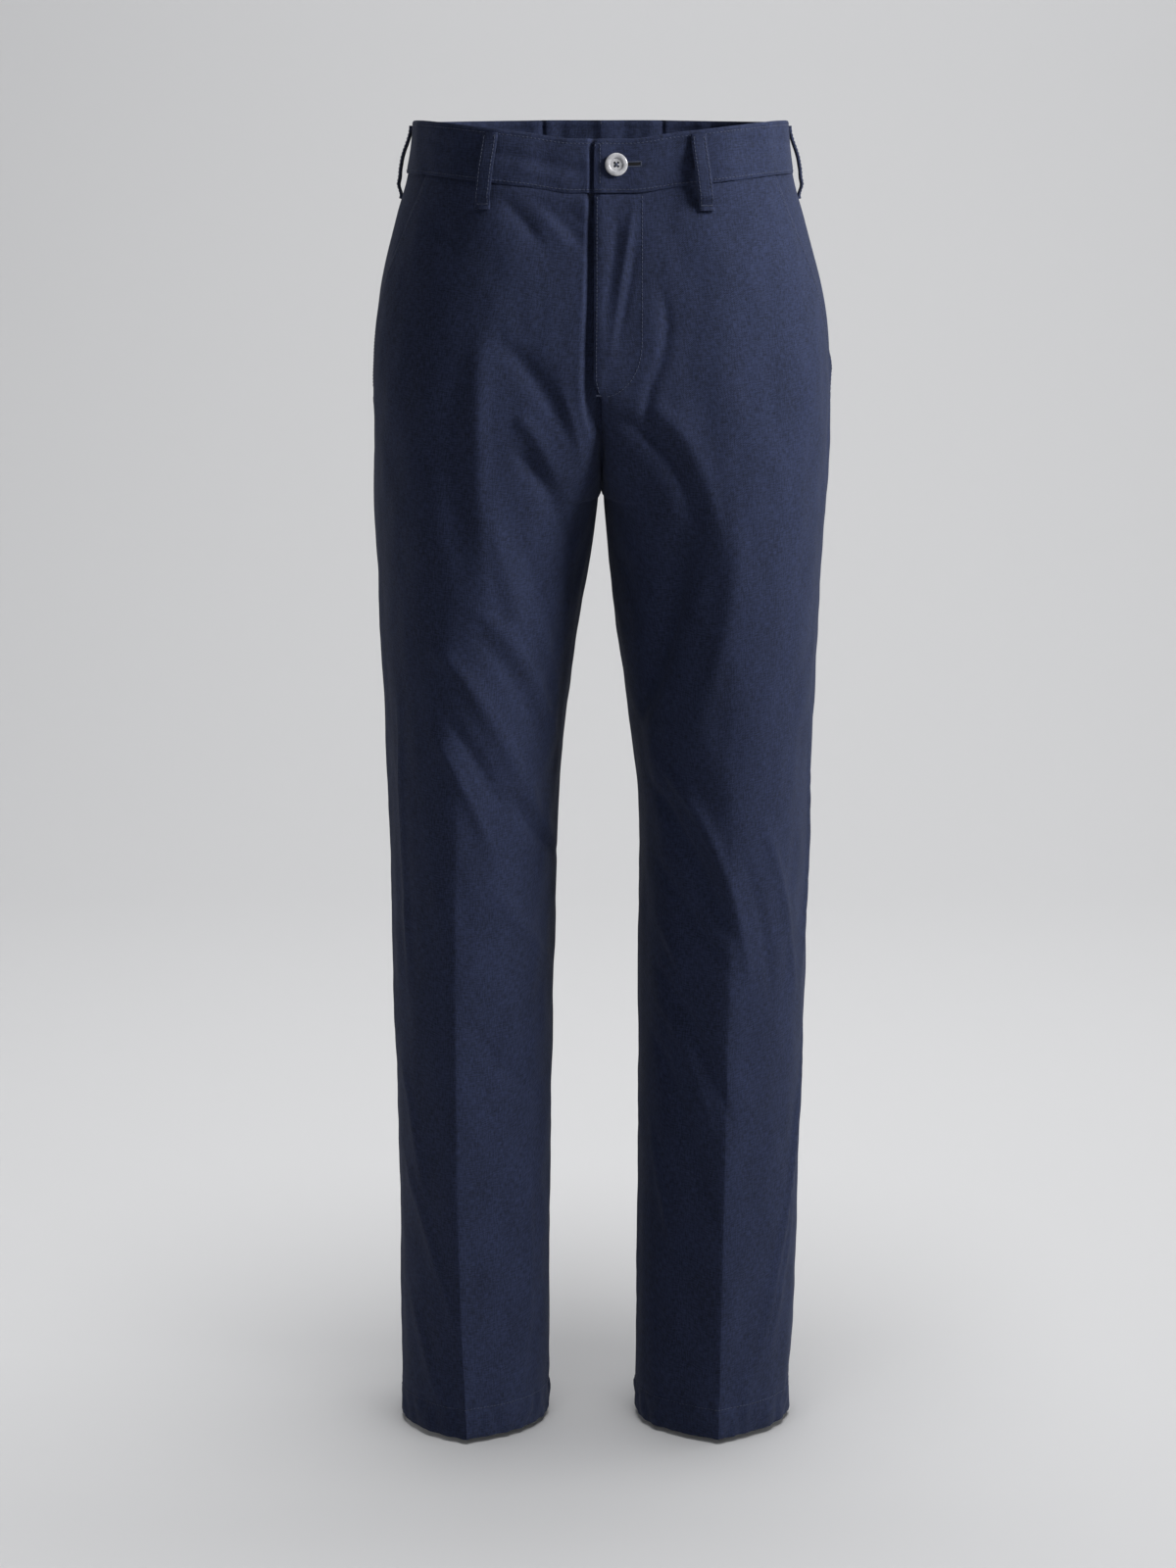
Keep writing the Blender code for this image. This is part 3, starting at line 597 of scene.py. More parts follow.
TWILL_WEAVE = twill_weave()
def two_tones(nodes, links, mask, deep, light, low=0.0, high=1.0):
    """A ramp between two tones of a finish, driven by a mask from low to high."""
    tone = nodes.new("ShaderNodeValToRGB")
    for end, place, colour in zip(tone.color_ramp.elements, (low, high), (deep, light)):
        end.position = place
        end.color = colour
    links.new(mask, tone.inputs[0])
    return tone.outputs[0]


NAVY_DEEP = (0.0070, 0.0106, 0.0270, 1)
NAVY_LIGHT = (0.0203, 0.0286, 0.0705, 1)


def navy_twill():
    """Dull navy cotton, a little fuzzy, with the weave in its colour and its surface."""
    material = bpy.data.materials.new("navy twill")
    material.use_nodes = True
    nodes, links = material.node_tree.nodes, material.node_tree.links
    shader = nodes["Principled BSDF"]
    place = nodes.new("ShaderNodeAttribute")
    place.attribute_name = "grain"
    weave = nodes.new("ShaderNodeGroup")
    weave.node_tree = TWILL_WEAVE
    weave.inputs["Slub"].default_value = 1.0
    links.new(place.outputs["Vector"], weave.inputs["Grain"])
    tone = two_tones(nodes, links, weave.outputs["Shade"], NAVY_DEEP, NAVY_LIGHT, low=0.28, high=0.72)
    links.new(tone, shader.inputs["Base Color"])
    bump = nodes.new("ShaderNodeBump")
    bump.inputs["Strength"].default_value = 0.35
    bump.inputs["Distance"].default_value = 0.00025
    links.new(weave.outputs["Height"], bump.inputs["Height"])
    links.new(bump.outputs[0], shader.inputs["Normal"])
    shader.inputs["Roughness"].default_value = 0.88
    shader.inputs["Specular IOR Level"].default_value = 0.25
    shader.inputs["Sheen Weight"].default_value = 0.06
    shader.inputs["Sheen Roughness"].default_value = 0.45
    shader.inputs["Sheen Tint"].default_value = (0.45, 0.52, 0.75, 1)
    return material


NAVY = navy_twill()


def finish_cloth(piece, node):
    """What every cloth piece needs: its finish, a place on the root body, and its CAD node hidden."""
    piece.data.materials.append(NAVY)
    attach(piece, "root")
    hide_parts(node)


panels = {}
for half in ("left", "right"):
    outer, normal, share, height = panel_surface(half, "front")
    panels["front", half] = (outer, normal, share, height)
    front = shell(f"front_panel_{half}", outer, outer - normal * TWILL)
    finish_cloth(front, f"front_{half}")

# ---------------------------------------------------------------------------
# Backs. Two wider panels of the same twill, shaped over the seat and sewn to the
# fronts at the side seams and inseams, and to each other at the centre back.
for half in ("left", "right"):
    outer, normal, share, height = panel_surface(half, "back")
    panels["back", half] = (outer, normal, share, height)
    back = shell(f"back_panel_{half}", outer, outer - normal * TWILL)
    finish_cloth(back, f"back_{half}")

# ---------------------------------------------------------------------------
# Fly facing. The left front's edge is doubled by this strip behind it, which the
# J of stitching holds; it shows only at the lap's edge.
FLY_ROWS = 60
FLY_COLUMNS = 16


def front_line(height_wanted, half="left"):
    """The line of points and normals across a front at a height near its centre."""
    outer, normal = panels["front", half][:2]
    row = np.interp(-height_wanted, -outer[:, 0, 2], np.arange(len(outer)))
    whole = min(int(row), len(outer) - 2)
    part = row - whole
    line = outer[whole] * (1 - part) + outer[whole + 1] * part
    facing = normal[whole] * (1 - part) + normal[whole + 1] * part
    return line, facing


def on_front(half, x, height):
    """A point of a finished front at x and a height, and the way it faces."""
    line, facing = front_line(height, half)
    order = np.argsort(line[:, 0])
    point = between(x, line[order, 0], line[order])
    way = between(x, line[order, 0], facing[order])
    return point, way / np.linalg.norm(way)


def fly_edge(down):
    """How far from the centre line the J runs, part way down the fly."""
    bend = np.clip((down - FLY_TURN) / (1 - FLY_TURN), 0, 1)
    return np.maximum(0.002, FLY_WIDTH * np.sqrt(1 - bend ** 2.4))


fly_top = band_top(0.03) - BAND - 0.001
facing_points = np.zeros((FLY_ROWS + 1, FLY_COLUMNS + 1, 3))
facing_normals = np.zeros_like(facing_points)
for row in range(FLY_ROWS + 1):
    down = row / FLY_ROWS
    line, way = front_line(fly_top + (FLY_BOTTOM - fly_top) * down)
    x = np.linspace(line[0, 0] + 0.0006, fly_edge(down), FLY_COLUMNS + 1)
    facing_points[row] = between(x, line[:, 0], line)
    facing_normals[row] = between(x, line[:, 0], way)
facing_points -= facing_normals * (TWILL + 0.0002)
fly = shell("fly_facing", facing_points, facing_points - facing_normals * TWILL)
finish_cloth(fly, "fly")

# ---------------------------------------------------------------------------
# Waistband. Two doubled strips of the twill, joined at the centre back. The left end
# laps over the right one, with its upper corner turned round, and has the buttonhole.
BAND_WALL = 0.0024
BAND_PROUD = 0.0008
BAND_UNDERLAP = 0.030
CENTRE_RUN = 0.110
LAP_ROUND = 0.0045             # the upper corner of the lapped end
BAND_TUCK_SHARES = (0.115, 0.065)
BAND_STITCHED = (0.0035, BAND - 0.0030)
BAND_SEAMS = (-0.047, 0.050)   # the inner layer is joined here behind
BAND_GATHERS = {"seed": 31, "size": 0.0013, "longest": 0.040, "shortest": 0.010}
BAND_DRAPE = {"seed": 21, "size": 0.0010, "longest": 0.060, "shortest": 0.018}
BAND_ROWS = 26
BAND_COLUMNS = 340
BAND_GROOVES = {
    # half: (x, depth below the top edge) at each end, half width and height in millimetres
    "right": (
        ((-0.128, 0.015), (-0.108, 0.019), 4.0, -1.1),
        ((-0.100, 0.017), (-0.018, 0.022), 5.0, -1.2),
        ((-0.060, 0.028), (-0.030, 0.031), 3.5, 0.6),
        ((-0.010, 0.008), (-0.004, 0.030), 3.0, -0.5),
    ),
    "left": (
        ((0.100, 0.012), (0.138, 0.016), 3.0, -0.7),
        ((0.104, 0.021), (0.132, 0.023), 3.0, -0.6),
        ((0.028, 0.024), (0.064, 0.028), 4.0, -0.5),
        ((0.086, 0.028), (0.110, 0.030), 3.0, 0.5),
    ),
}


def rolled(depth):
    """1 at the band's top and bottom edges, falling off over the width of the roll."""
    return groove(depth, width=0.0010, deep=1) + groove(BAND - depth, width=0.0010, deep=1)


def waistband_grid(half):
    """Outer points, normals, shares and depths of half of the waistband."""
    start = -(FLY_LAP if half == "left" else BAND_UNDERLAP) / CENTRE_RUN
    share = np.linspace(start, 2.0, BAND_COLUMNS)
    down = np.linspace(0, 1, BAND_ROWS)[:, None]
    depth = BAND * smooth_step(0, 1, down) * 0.35 + BAND * down * 0.65
    height = band_top(share) - depth
    if half == "left":
        short = np.clip(LAP_ROUND - (share - start) * CENTRE_RUN, 0, LAP_ROUND)
        height = height - (LAP_ROUND - np.sqrt(LAP_ROUND ** 2 - short ** 2)) * (1 - down) ** 3
    share = np.broadcast_to(share, height.shape)
    depth = np.broadcast_to(depth, height.shape)
    normal = outward(half, share, height)
    base = form(half, share, height)
    lift = np.full(height.shape, BAND_PROUD)
    if half == "right":
        lift = lift - (BAND_WALL + 0.0012) * smooth_step(*BAND_TUCK_SHARES, share)
    for start_at, end_at, spread, tall in BAND_GROOVES[half]:
        run = np.array(end_at) - np.array(start_at)
        flat = np.stack([base[..., 0], depth], axis=-1) - np.array(start_at)
        t = np.clip(flat @ run / (run @ run), 0, 1)
        away = np.linalg.norm(flat - t[..., None] * run, axis=-1)
        front = base[..., 1] < 0
        lift = lift + front * groove(away, width=spread / 1000, deep=tall / 1000)
    lift = lift + drape(base, **BAND_DRAPE)
    for stitched in BAND_STITCHED:
        lift = lift - groove(depth - stitched, width=0.0009, deep=0.00035)
    return base + normal * (lift - 0.0008 * rolled(depth))[..., None], normal, share, depth


bands = {}
for half in ("left", "right"):
    outer, normal, share, depth = waistband_grid(half)
    bands[half] = (outer, normal, share, depth)
    wall = BAND_WALL - 0.0012 * rolled(depth)
    behind = smooth_step(1.1, 1.5, share)
    wall = wall + behind * drape(outer * (1, 1, 0.35), **BAND_GATHERS)
    for seam in BAND_SEAMS:
        wall = wall - behind * groove(outer[..., 0] - seam, width=0.0016, deep=0.0016)
    band = shell(f"waistband_half_{half}", outer, outer - normal * wall[..., None])
    finish_cloth(band, f"waistband_{half}")

# ---------------------------------------------------------------------------
# Pocket facings. Behind each slanted mouth a strip of the twill runs from under the
# front's edge out to the side seam.
POCKET_COLUMNS = 14          # under the front's edge, and again past it
for half in ("left", "right"):
    outer, normal, share, height = panels["front", half]
    rows = int(np.sum(height[:, -1] > POCKET_BOTTOM)) + 1
    level = height[:rows, -1:]
    fill = np.linspace(0, 1, POCKET_COLUMNS)[1:]
    open_share = pocket_mouth(level) + (1 - pocket_mouth(level)) * fill
    fade = 1 - smooth_step(0, 1, np.linspace(0, 1, rows)[:, None])
    top = band_top(open_share[0]) - BAND + 0.0012
    level = level + (top - level[0]) * fade
    facing = outward(half, open_share, level)
    past = form(half, open_share, level)
    lift = drape(past, **SLOW_DRAPE) * smooth_step(0, 0.030, level[0] - level)
    sunk = (TWILL + 0.0004) * (1 - smooth_step(0.2, 1.0, fill)) - lift + 0.0002
    past = past - facing * sunk[..., None]
    under = outer[:rows, -POCKET_COLUMNS:]
    under_facing = normal[:rows, -POCKET_COLUMNS:]
    grid = np.concatenate([under - under_facing * (TWILL + 0.0003), past], axis=1)
    ways = np.concatenate([under_facing, facing], axis=1)
    pocket = shell(f"pocket_front_{half}", grid, grid - ways * TWILL)
    finish_cloth(pocket, f"pocket_facing_{half}")

# ---------------------------------------------------------------------------
# Hems. Each leg end is turned up inside, pressed, and stitched through.
for half in ("left", "right"):
    share = np.linspace(0, 2, 180, endpoint=False)
    down = np.linspace(0, 1, 14)[:, None]
    height = -LENGTH + 0.0012 + (HEM - 0.0012) * (1 - down) + 0 * share
    share = np.broadcast_to(share, height.shape)
    normal = outward(half, share, height)
    base = form(half, share, height)
    lift = drape(base, **SLOW_DRAPE)
    outer = base - normal * (TWILL + 0.0006 - lift)[..., None]
    hem = shell(f"hem_turn_{half}", outer, outer - normal * TWILL, ring=True)
    finish_cloth(hem, f"hem_{half}")

# ---------------------------------------------------------------------------
# Belt loops. Narrow strips folded in three, caught under the waistband's top edge and
# sewn down below its seam, standing off between for the belt.
LOOP_WIDTH = 0.012
LOOP_BELOW = 0.020
LOOP_TOP = 0.0035
LOOP_SPACE = 0.0050
LOOP_THICK = 0.0018
LOOPS = (
    # place, half, (x at the top, x at the bottom) or a share
    ("front_left", "left", (0.0716, 0.0783)),
    ("front_right", "right", (-0.0830, -0.0897)),
    ("side_left", "left", 1.03),
    ("side_right", "right", 1.03),
    ("back", "left", 2.0),
)


def front_share(half, x, height):
    """Share at which the form's front stands at a given x."""
    shares = np.linspace(-0.5, 0.98, 200)
    xs = form(half, shares, height)[:, 0]
    order = np.argsort(xs)
    return float(np.interp(x, xs[order], shares[order]))


def loop_path(half, where):
    """Middle line, normals and sideways directions of a belt loop, top to bottom."""
    down = np.linspace(0, 1, 46)
    if isinstance(where, tuple):
        top = front_share(half, where[0], -0.015)
        bottom = front_share(half, where[1], -0.070)
    else:
        top = bottom = where
    share = top + (bottom - top) * down
    height = band_top(share) - LOOP_TOP - down * (BAND - LOOP_TOP + LOOP_BELOW)
    normal = outward(half, share, height)
    run = form(half, share + 0.02, height) - form(half, share - 0.02, height)
    across = run / np.linalg.norm(run, axis=1, keepdims=True)
    bow = smooth_step(-0.02, 0.50, down) * smooth_step(0.985, 0.80, down)
    stand = 0.0008 + BAND_PROUD * smooth_step(0.75, 0.60, down) + LOOP_SPACE * bow
    middle = form(half, share, height) + normal * stand[:, None]
    return middle, normal, across, down


loop_paths = {}
for place, half, where in LOOPS:
    middle, normal, across, down = loop_path(half, where)
    loop_paths[place] = (middle, normal, across, down)
    side = np.linspace(-1, 1, 13)
    edge = LOOP_WIDTH / 2 * side
    crown = LOOP_THICK * (1 - 0.55 * abs(side) ** 6)
    fold = 0.0004 * np.exp(-((abs(side) - 0.72) / 0.10) ** 2)
    ends = 1 + 0.35 * (np.exp(-(down / 0.05) ** 2) + np.exp(-((1 - down) / 0.06) ** 2))
    inner = middle[:, None] + across[:, None] * edge[None, :, None]
    thick = crown[None] * ends[:, None] - fold[None]
    outer = inner + normal[:, None] * thick[..., None]
    loop = shell(f"loop_{place}", outer, inner)
    finish_cloth(loop, f"belt_loop_{place}")

# ---------------------------------------------------------------------------
# Button. Turned from grey horn-like plastic: a raised rim, a dished middle with four
# holes, sewn on with navy thread through the lapped end.
BUTTON_RADIUS = 0.0085
BUTTON_THICK = 0.0030
BUTTON_PLACE = (0.0105, -0.0350)
HOLE_REACH = 0.0019
HOLE_RADIUS = 0.00085
HORN_DEEP = (0.30, 0.30, 0.315, 1)
HORN_LIGHT = (0.52, 0.52, 0.54, 1)


def button_profile():
    """Radius and height along the button, from the middle of its face to its back."""
    rim = [(0.78 + 0.22 * math.sin(a), 0.72 + 0.28 * math.cos(a)) for a in np.linspace(-0.9, 1.57, 10)]
    dish = [(r, 0.62 + 0.03 * (r / 0.5) ** 2) for r in (0.50, 0.56)]
    return dish + rim + [(1.0, 0.45), (0.93, 0.16), (0.72, 0.0), (0.0, 0.0)]


def button_mesh():
    """The button's body: its rings, and a face with four real holes through it."""
    sides = 64
    angles = np.arange(sides) * 2 * np.pi / sides
    vertices = []
    faces = []
    profile = button_profile()
    for radius, level in profile[:-1]:
        for angle in angles:
            vertices.append((radius * BUTTON_RADIUS * math.cos(angle),
                             radius * BUTTON_RADIUS * math.sin(angle), level * BUTTON_THICK))
    rings = len(profile) - 1
    for ring in range(rings - 1):
        for side in range(sides):
            after = (side + 1) % sides
            faces.append((ring * sides + side, (ring + 1) * sides + side,
                          (ring + 1) * sides + after, ring * sides + after))
    faces.append(tuple((rings - 1) * sides + side for side in reversed(range(sides))))
    faces.append(tuple(range(sides)))
    mesh = bpy.data.meshes.new("button_body")
    mesh.from_pydata(vertices, [], faces)
    mesh.update()
    if sum(face.center.dot(face.normal) * face.area for face in mesh.polygons) < 0:
        mesh.flip_normals()
    return mesh


share = front_share("left", BUTTON_PLACE[0], BUTTON_PLACE[1])
seat = form("left", share, BUTTON_PLACE[1])
seat_way = outward("left", np.array(share), np.array(BUTTON_PLACE[1]))
facing = Vector(seat_way).to_track_quat("Z", "Y").to_matrix().to_4x4()
place_button = Matrix.Translation(Vector(seat + seat_way * (BAND_PROUD + 0.0006))) @ facing
body = bpy.data.objects.new("button_body", button_mesh())
bpy.context.collection.objects.link(body)
cutters = []
for turn in range(4):
    angle = math.pi / 4 + turn * math.pi / 2
    bpy.ops.mesh.primitive_cylinder_add(vertices=20, radius=HOLE_RADIUS, depth=BUTTON_THICK * 3)
    cutter = bpy.context.object
    hole_at = (HOLE_REACH * math.cos(angle), HOLE_REACH * math.sin(angle), 0)
    cutter.matrix_world = Matrix.Translation(hole_at)
    cutters.append(cutter)
    hole = body.modifiers.new("hole", "BOOLEAN")
    hole.operation = "DIFFERENCE"
    hole.object = cutter
bpy.context.view_layer.update()
shaped = bpy.data.meshes.new_from_object(body.evaluated_get(bpy.context.evaluated_depsgraph_get()))
for cutter in cutters:
    bpy.data.objects.remove(cutter, do_unlink=True)
bpy.data.objects.remove(body, do_unlink=True)
shaped.transform(place_button)
shaped.shade_smooth()
shaped.set_sharp_from_angle(angle=math.radians(40))
button = bpy.data.objects.new("waist_button", shaped)
bpy.context.collection.objects.link(button)

horn = bpy.data.materials.new("grey horn")
horn.use_nodes = True
nodes, links = horn.node_tree.nodes, horn.node_tree.links
shader = nodes["Principled BSDF"]
place = nodes.new("ShaderNodeTexCoord")
grain = nodes.new("ShaderNodeTexNoise")
grain.inputs["Scale"].default_value = 260
grain.inputs["Detail"].default_value = 4
links.new(place.outputs["Object"], grain.inputs["Vector"])
tone = two_tones(nodes, links, grain.outputs[0], HORN_DEEP, HORN_LIGHT, low=0.30, high=0.72)
links.new(tone, shader.inputs["Base Color"])
shader.inputs["Roughness"].default_value = 0.24
shader.inputs["Coat Weight"].default_value = 0.5
shader.inputs["Coat Roughness"].default_value = 0.12
shaped.materials.clear()
shaped.materials.append(horn)
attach(button, "root")
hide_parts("button")

# ---------------------------------------------------------------------------
# Stitching. Navy thread a shade lighter than the cloth, in rows of small lockstitches
# that sink in at both ends of each stitch.
STITCH_PITCH = 0.0030
STITCH_LONG = 0.0023
THREAD = 0.00024
THREAD_DEEP = (0.018, 0.024, 0.050, 1)
THREAD_LIGHT = (0.048, 0.062, 0.115, 1)
BAR_STEP = 0.00042           # between the stitches of a bartack
BAR_THREAD = 0.0002
LAP_COLUMN = 7               # the band's column that the lapped end's stitching follows
LOOP_STITCH_OUT = 0.0043     # a loop's edge rows lie this far either side of its middle
POCKET_STITCH_IN = 0.0060
FLY_EDGE_STITCH_IN = 0.0020


def stitch_row(path, normals, pitch=STITCH_PITCH, long=STITCH_LONG, thick=THREAD):
    """Vertices and faces of a row of stitches along a line of points on the cloth."""
    steps = np.linalg.norm(np.diff(path, axis=0), axis=1)
    run = np.concatenate([[0], np.cumsum(steps)])
    count = int(run[-1] / pitch)
    sides, rings = 6, 5
    vertices, faces = [], []
    for stitch in range(count):
        start = (stitch + 0.5) * pitch - long / 2
        along_stitch = start + long * np.linspace(0, 1, rings)
        points = between(along_stitch, run, path)
        way = between(along_stitch, run, normals)
        ahead = points[-1] - points[0]
        ahead /= np.linalg.norm(ahead)
        beside = np.cross(ahead, way)
        beside /= np.linalg.norm(beside, axis=1, keepdims=True)
        swell = np.sin(np.pi * np.linspace(0.12, 0.88, rings))
        base = len(vertices)
        for ring in range(rings):
            middle = points[ring] + way[ring] * thick * (1.5 * swell[ring] - 0.7)
            for side in range(sides):
                angle = 2 * math.pi * side / sides
                off = beside[ring] * math.cos(angle) + way[ring] * math.sin(angle)
                vertices.append(middle + off * thick * (0.55 + 0.45 * swell[ring]))
        for ring in range(rings - 1):
            for side in range(sides):
                after = (side + 1) % sides
                low = base + ring * sides
                faces.append((low + side, low + after, low + sides + after, low + sides + side))
        faces.append(tuple(base + side for side in reversed(range(sides))))
        faces.append(tuple(base + (rings - 1) * sides + side for side in range(sides)))
    return vertices, faces


def band_line(half, depth_at):
    """A line along the waistband at one depth below its top edge."""
    outer, normal, share, depth = bands[half]
    row = int(np.argmin(abs(depth[:, 0] - depth_at)))
    return outer[row], normal[row]


def panel_line(side, half, inset, rows=slice(None), outer_edge=True):
    """A line down a panel, a set distance in from its inner or outer edge."""
    points, normal = panels[side, half][:2]
    from_inner, from_outer = edge_distance(points)
    from_edge = from_outer if outer_edge else from_inner
    lines, ways = [], []
    for row in range(len(points))[rows]:
        order = np.argsort(from_edge[row])
        lines.append(between(inset, from_edge[row][order], points[row, order]))
        ways.append(between(inset, from_edge[row][order], normal[row, order]))
    return np.array(lines), np.array(ways)


def panel_level(side, half, height_at):
    """A line across a panel at one height."""
    points, normal = panels[side, half][:2]
    line, ways = [], []
    for column in range(points.shape[1]):
        down = -points[:, column, 2]
        line.append(between(-height_at, down, points[:, column]))
        ways.append(between(-height_at, down, normal[:, column]))
    return np.array(line), np.array(ways)


thread_vertices, thread_faces = [], []


def sew(path, normals, **sizes):
    """Add a row of stitches to the thread."""
    vertices, faces = stitch_row(np.asarray(path), np.asarray(normals), **sizes)
    offset = len(thread_vertices)
    thread_vertices.extend(vertices)
    thread_faces.extend(tuple(i + offset for i in face) for face in faces)


def sew_bar(point, way, ahead, long, wide=0.0016):
    """Add a bartack to the thread: close stitches side by side, crossing the line ahead."""
    ahead = np.array(ahead) / np.linalg.norm(ahead)
    beside = np.cross(way, ahead)
    for step in np.arange(-long / 2, long / 2, BAR_STEP):
        middle = point + ahead * step
        ends = [middle - beside * wide / 2, middle + beside * wide / 2]
        sew(ends, [way, way], pitch=wide * 0.98, long=wide * 0.9, thick=BAR_THREAD)


def finish_thread(name):
    """Make the thread sewn so far one piece."""
    mesh = bpy.data.meshes.new(name)
    mesh.from_pydata([tuple(v) for v in thread_vertices], [], thread_faces)
    mesh.shade_smooth()
    piece = bpy.data.objects.new(name, mesh)
    bpy.context.collection.objects.link(piece)
    mesh.materials.append(THREAD_LOOK)
    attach(piece, "root")
    thread_vertices.clear()
    thread_faces.clear()


def navy_thread():
    """Spun polyester thread, slightly brighter than the twill."""
    material = bpy.data.materials.new("navy thread")
    material.use_nodes = True
    nodes, links = material.node_tree.nodes, material.node_tree.links
    shader = nodes["Principled BSDF"]
    where = nodes.new("ShaderNodeTexCoord")
    twist = nodes.new("ShaderNodeTexNoise")
    twist.inputs["Scale"].default_value = 900
    links.new(where.outputs["Object"], twist.inputs["Vector"])
    tone = two_tones(nodes, links, twist.outputs[0], THREAD_DEEP, THREAD_LIGHT)
    links.new(tone, shader.inputs["Base Color"])
    shader.inputs["Roughness"].default_value = 0.6
    return material


THREAD_LOOK = navy_thread()
for half in ("left", "right"):
    for depth_at in BAND_STITCHED:
        sew(*band_line(half, depth_at))
outer, normal = bands["left"][:2]
sew(outer[3:-3, LAP_COLUMN], normal[3:-3, LAP_COLUMN])
for place, (middle, normal, across, down) in loop_paths.items():
    face = middle + normal * (LOOP_THICK * 0.96)
    for beside in (-LOOP_STITCH_OUT, LOOP_STITCH_OUT):
        sew(face[2:-2] + across[2:-2] * beside, normal[2:-2])
    for end in (2, -4):
        sew_bar(face[end], normal[end], across[end], long=LOOP_STITCH_OUT * 2)
finish_thread("waistband_thread")

for half in ("left", "right"):
    mouth_rows = panels["front", half][3][:, -1] > POCKET_BOTTOM
    sew(*panel_line("front", half, POCKET_STITCH_IN, slice(2, int(mouth_rows.sum()) - 2)))
    for side in ("front", "back"):
        sew(*panel_level(side, half, -LENGTH + HEM))
finish_thread("pocket_and_hem_thread")

fly_points, fly_ways = [], []
for down in np.linspace(0.01, 1.0, 120):
    point, way = on_front("left", fly_edge(down) - 0.0010, fly_top + (FLY_BOTTOM - fly_top) * down)
    fly_points.append(point)
    fly_ways.append(way)
sew(fly_points, fly_ways)
edge_points, edge_ways = panel_line("front", "left", FLY_EDGE_STITCH_IN, outer_edge=False)
kept = (edge_points[:, 2] > FLY_BOTTOM) & (edge_points[:, 2] < fly_top)
sew(edge_points[kept], edge_ways[kept])
point, way = on_front("left", -0.0030, FLY_BOTTOM + 0.0012)
sew_bar(point, way, np.array([1.0, 0.0, 0.0]), long=0.0055)
for half in ("left", "right"):
    line, ways = panel_line("front", half, 0.0030)
    low = int(np.argmin(abs(line[:, 2] - POCKET_BOTTOM)))
    sew_bar(line[low], ways[low], line[low] - line[low + 2], long=0.0050, wide=0.0030)
finish_thread("fly_thread")

# ---------------------------------------------------------------------------
# Buttonhole. A slit cut along the lapped end of the waistband, bound with close
# purl stitches above and below and a bar at its outer end. Its opening is a thin
# near-black sheet of painted shadow.
HOLE_START = 0.0175
HOLE_END = 0.0290
HOLE_LEVEL = -0.0337
HOLE_OPEN = 0.0021
PURLS = 34                   # stitches on each side of the slit
PURL_REACH = 0.0006          # half the length of one
PURL = {"pitch": 0.00118, "long": 0.0011, "thick": 0.00018}
outer, normal, share = bands["left"][:3]
near = outer[:, share[0] < 0.5]
near_ways = normal[:, share[0] < 0.5]
row = int(np.argmin(abs(near[:, near.shape[1] // 2, 2] - HOLE_LEVEL)))
hole_x = np.linspace(HOLE_START, HOLE_END, 24)
hole_points = between(hole_x, near[row, :, 0], near[row])
hole_ways = between(hole_x, near[row, :, 0], near_ways[row])
up = np.array([0.0, 0.0, 1.0])
for side in (-1, 1):
    line = hole_points + up * side * (HOLE_OPEN / 2 + PURL_REACH)
    for step in np.linspace(0, len(line) - 1, PURLS):
        point = between(step, np.arange(len(line)), line)
        way = hole_ways[int(step)]
        sew([point - up * PURL_REACH, point + up * PURL_REACH], [way, way], **PURL)
sew_bar(hole_points[-1], hole_ways[-1], up, long=0.0030, wide=0.0014)
finish_thread("buttonhole_thread")
# The opening: a thin near-black sheet just proud of the band, painted shadow where the slit looks
# dark.
opening = [hole_points - up * HOLE_OPEN / 2, hole_points, hole_points + up * HOLE_OPEN / 2]
grid = np.stack(opening) + hole_ways[None] * 0.00012
slit = shell("buttonhole_slit", grid, grid - hole_ways[None] * 0.0002)
slit_painted_shadow = bpy.data.materials.new("painted shadow in the buttonhole slit")
slit_painted_shadow.use_nodes = True
shader = slit_painted_shadow.node_tree.nodes["Principled BSDF"]
# Near-black: painted shadow inside the slit, not a colour of the cloth.
shader.inputs["Base Color"].default_value = (0.0015, 0.0018, 0.0030, 1)
shader.inputs["Roughness"].default_value = 0.95
slit.data.materials.append(slit_painted_shadow)
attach(slit, "root")

# ---------------------------------------------------------------------------
# Button thread. Two pairs of stitches in the same thread cross the button from hole to
# hole and arch over its dished middle.
ARCH = ((-1, 0.62), (0, 0.80), (1, 0.62))   # reach from the middle, and height
BUTTON_STITCH = {"pitch": 0.0036, "long": 0.0034, "thick": 0.0003}
for turn in (0, 1):
    angle = math.pi / 4 + turn * math.pi / 2
    ahead = Vector((math.cos(angle), math.sin(angle), 0))
    beside = Vector((math.sin(angle), -math.cos(angle), 0))
    for side in (-1, 1):
        line = []
        for reach, level in ARCH:
            point = ahead * reach * HOLE_REACH + Vector((0, 0, level * BUTTON_THICK))
            line.append(np.array(place_button @ (point + beside * 0.0003 * side)))
        sew(line, [np.array(seat_way)] * 3, **BUTTON_STITCH)
finish_thread("button_thread")

# ---------------------------------------------------------------------------
# Floor, backdrop and light. A pale seamless sweep, one light over its back and one for
# its floor alone. A close key at the upper right falls on the garment and is kept off
# the sweep. A very weak fill comes from the left, and the room is dim.
SWEEP_NEAR = -4.0
SWEEP_BEND = 2.2
SWEEP_RADIUS = 1.4
SWEEP_STEPS = 16
SWEEP_TOP = 5.0
SWEEP_HALF = 6.0             # half its width
FLOOR = -LENGTH - 0.004
profile = [(SWEEP_NEAR, FLOOR)]
for step in range(SWEEP_STEPS + 1):
    angle = step / SWEEP_STEPS * math.pi / 2
    profile.append((SWEEP_BEND + SWEEP_RADIUS * math.sin(angle),
                    FLOOR + SWEEP_RADIUS * (1 - math.cos(angle))))
profile.append((SWEEP_BEND + SWEEP_RADIUS, SWEEP_TOP))
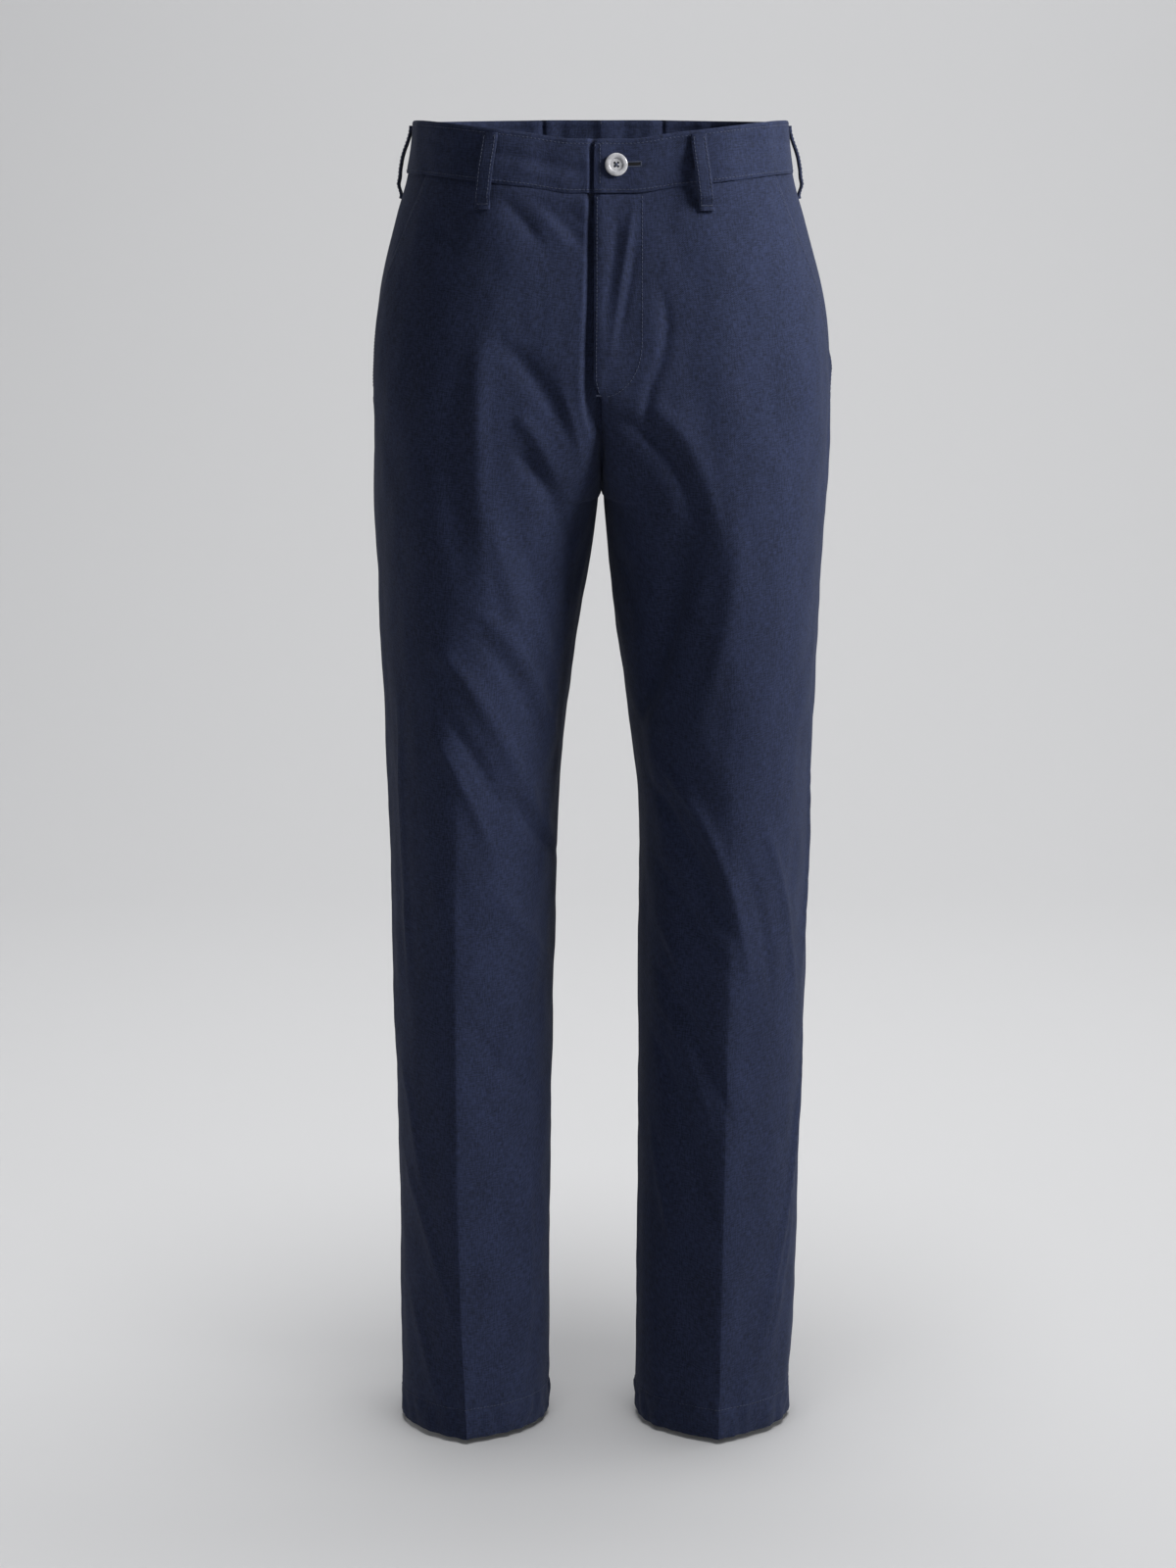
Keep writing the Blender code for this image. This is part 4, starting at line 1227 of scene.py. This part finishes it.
sweep_points = np.array([(x, y, z) for x in (-SWEEP_HALF, SWEEP_HALF) for y, z in profile])
lines = len(profile)
sweep_faces = np.array([(i, i + 1, i + 1 + lines, i + lines) for i in range(lines - 1)])
sweep_mesh = bpy.data.meshes.new("sweep")
sweep_mesh.from_pydata(sweep_points.tolist(), [], sweep_faces.tolist())
sweep_mesh.shade_smooth()
sweep = bpy.data.objects.new("sweep", sweep_mesh)
bpy.context.collection.objects.link(sweep)
paper = bpy.data.materials.new("pale paper")
paper.use_nodes = True
shader = paper.node_tree.nodes["Principled BSDF"]
shader.inputs["Base Color"].default_value = (0.70, 0.70, 0.705, 1)
shader.inputs["Roughness"].default_value = 0.9
sweep_mesh.materials.append(paper)

LIGHTS = (
    # name, place, aimed at, size, watts
    ("key", (1.38, -0.70, 0.66), (0.0, 0.0, -0.20), 0.6, 46),
    ("fill", (-2.6, -2.6, 0.6), (0.0, 0.0, -0.5), 2.4, 2),
    ("sweep light", (0.45, 0.9, 2.8), (0.4, 3.6, 0.2), 2.2, 80),
    ("floor light", (0.15, -0.75, 2.6), (0.15, -0.75, 0.0), 1.5, 72),
)
for name, place, aim, size, watts in LIGHTS:
    lamp_data = bpy.data.lights.new(name, "AREA")
    lamp_data.size = size
    lamp_data.energy = watts
    lamp = bpy.data.objects.new(name, lamp_data)
    lamp.location = place
    lamp.rotation_euler = (Vector(aim) - Vector(place)).to_track_quat("-Z", "Y").to_euler()
    bpy.context.collection.objects.link(lamp)
    # The key leaves the sweep out, and the floor light takes nothing else.
    if name in ("key", "floor light"):
        lit = bpy.data.collections.new(name + " falls on these")
        for piece in bpy.data.objects:
            if piece.type == "MESH" and (piece == sweep) == (name == "floor light"):
                lit.objects.link(piece)
        lamp.light_linking.receiver_collection = lit
world = bpy.data.worlds.new("room")
world.use_nodes = True
background = world.node_tree.nodes["Background"]
background.inputs["Color"].default_value = (0.94, 0.96, 1.0, 1)
background.inputs["Strength"].default_value = 0.22
bpy.context.scene.world = world
bpy.context.scene.view_settings.view_transform = "Standard"
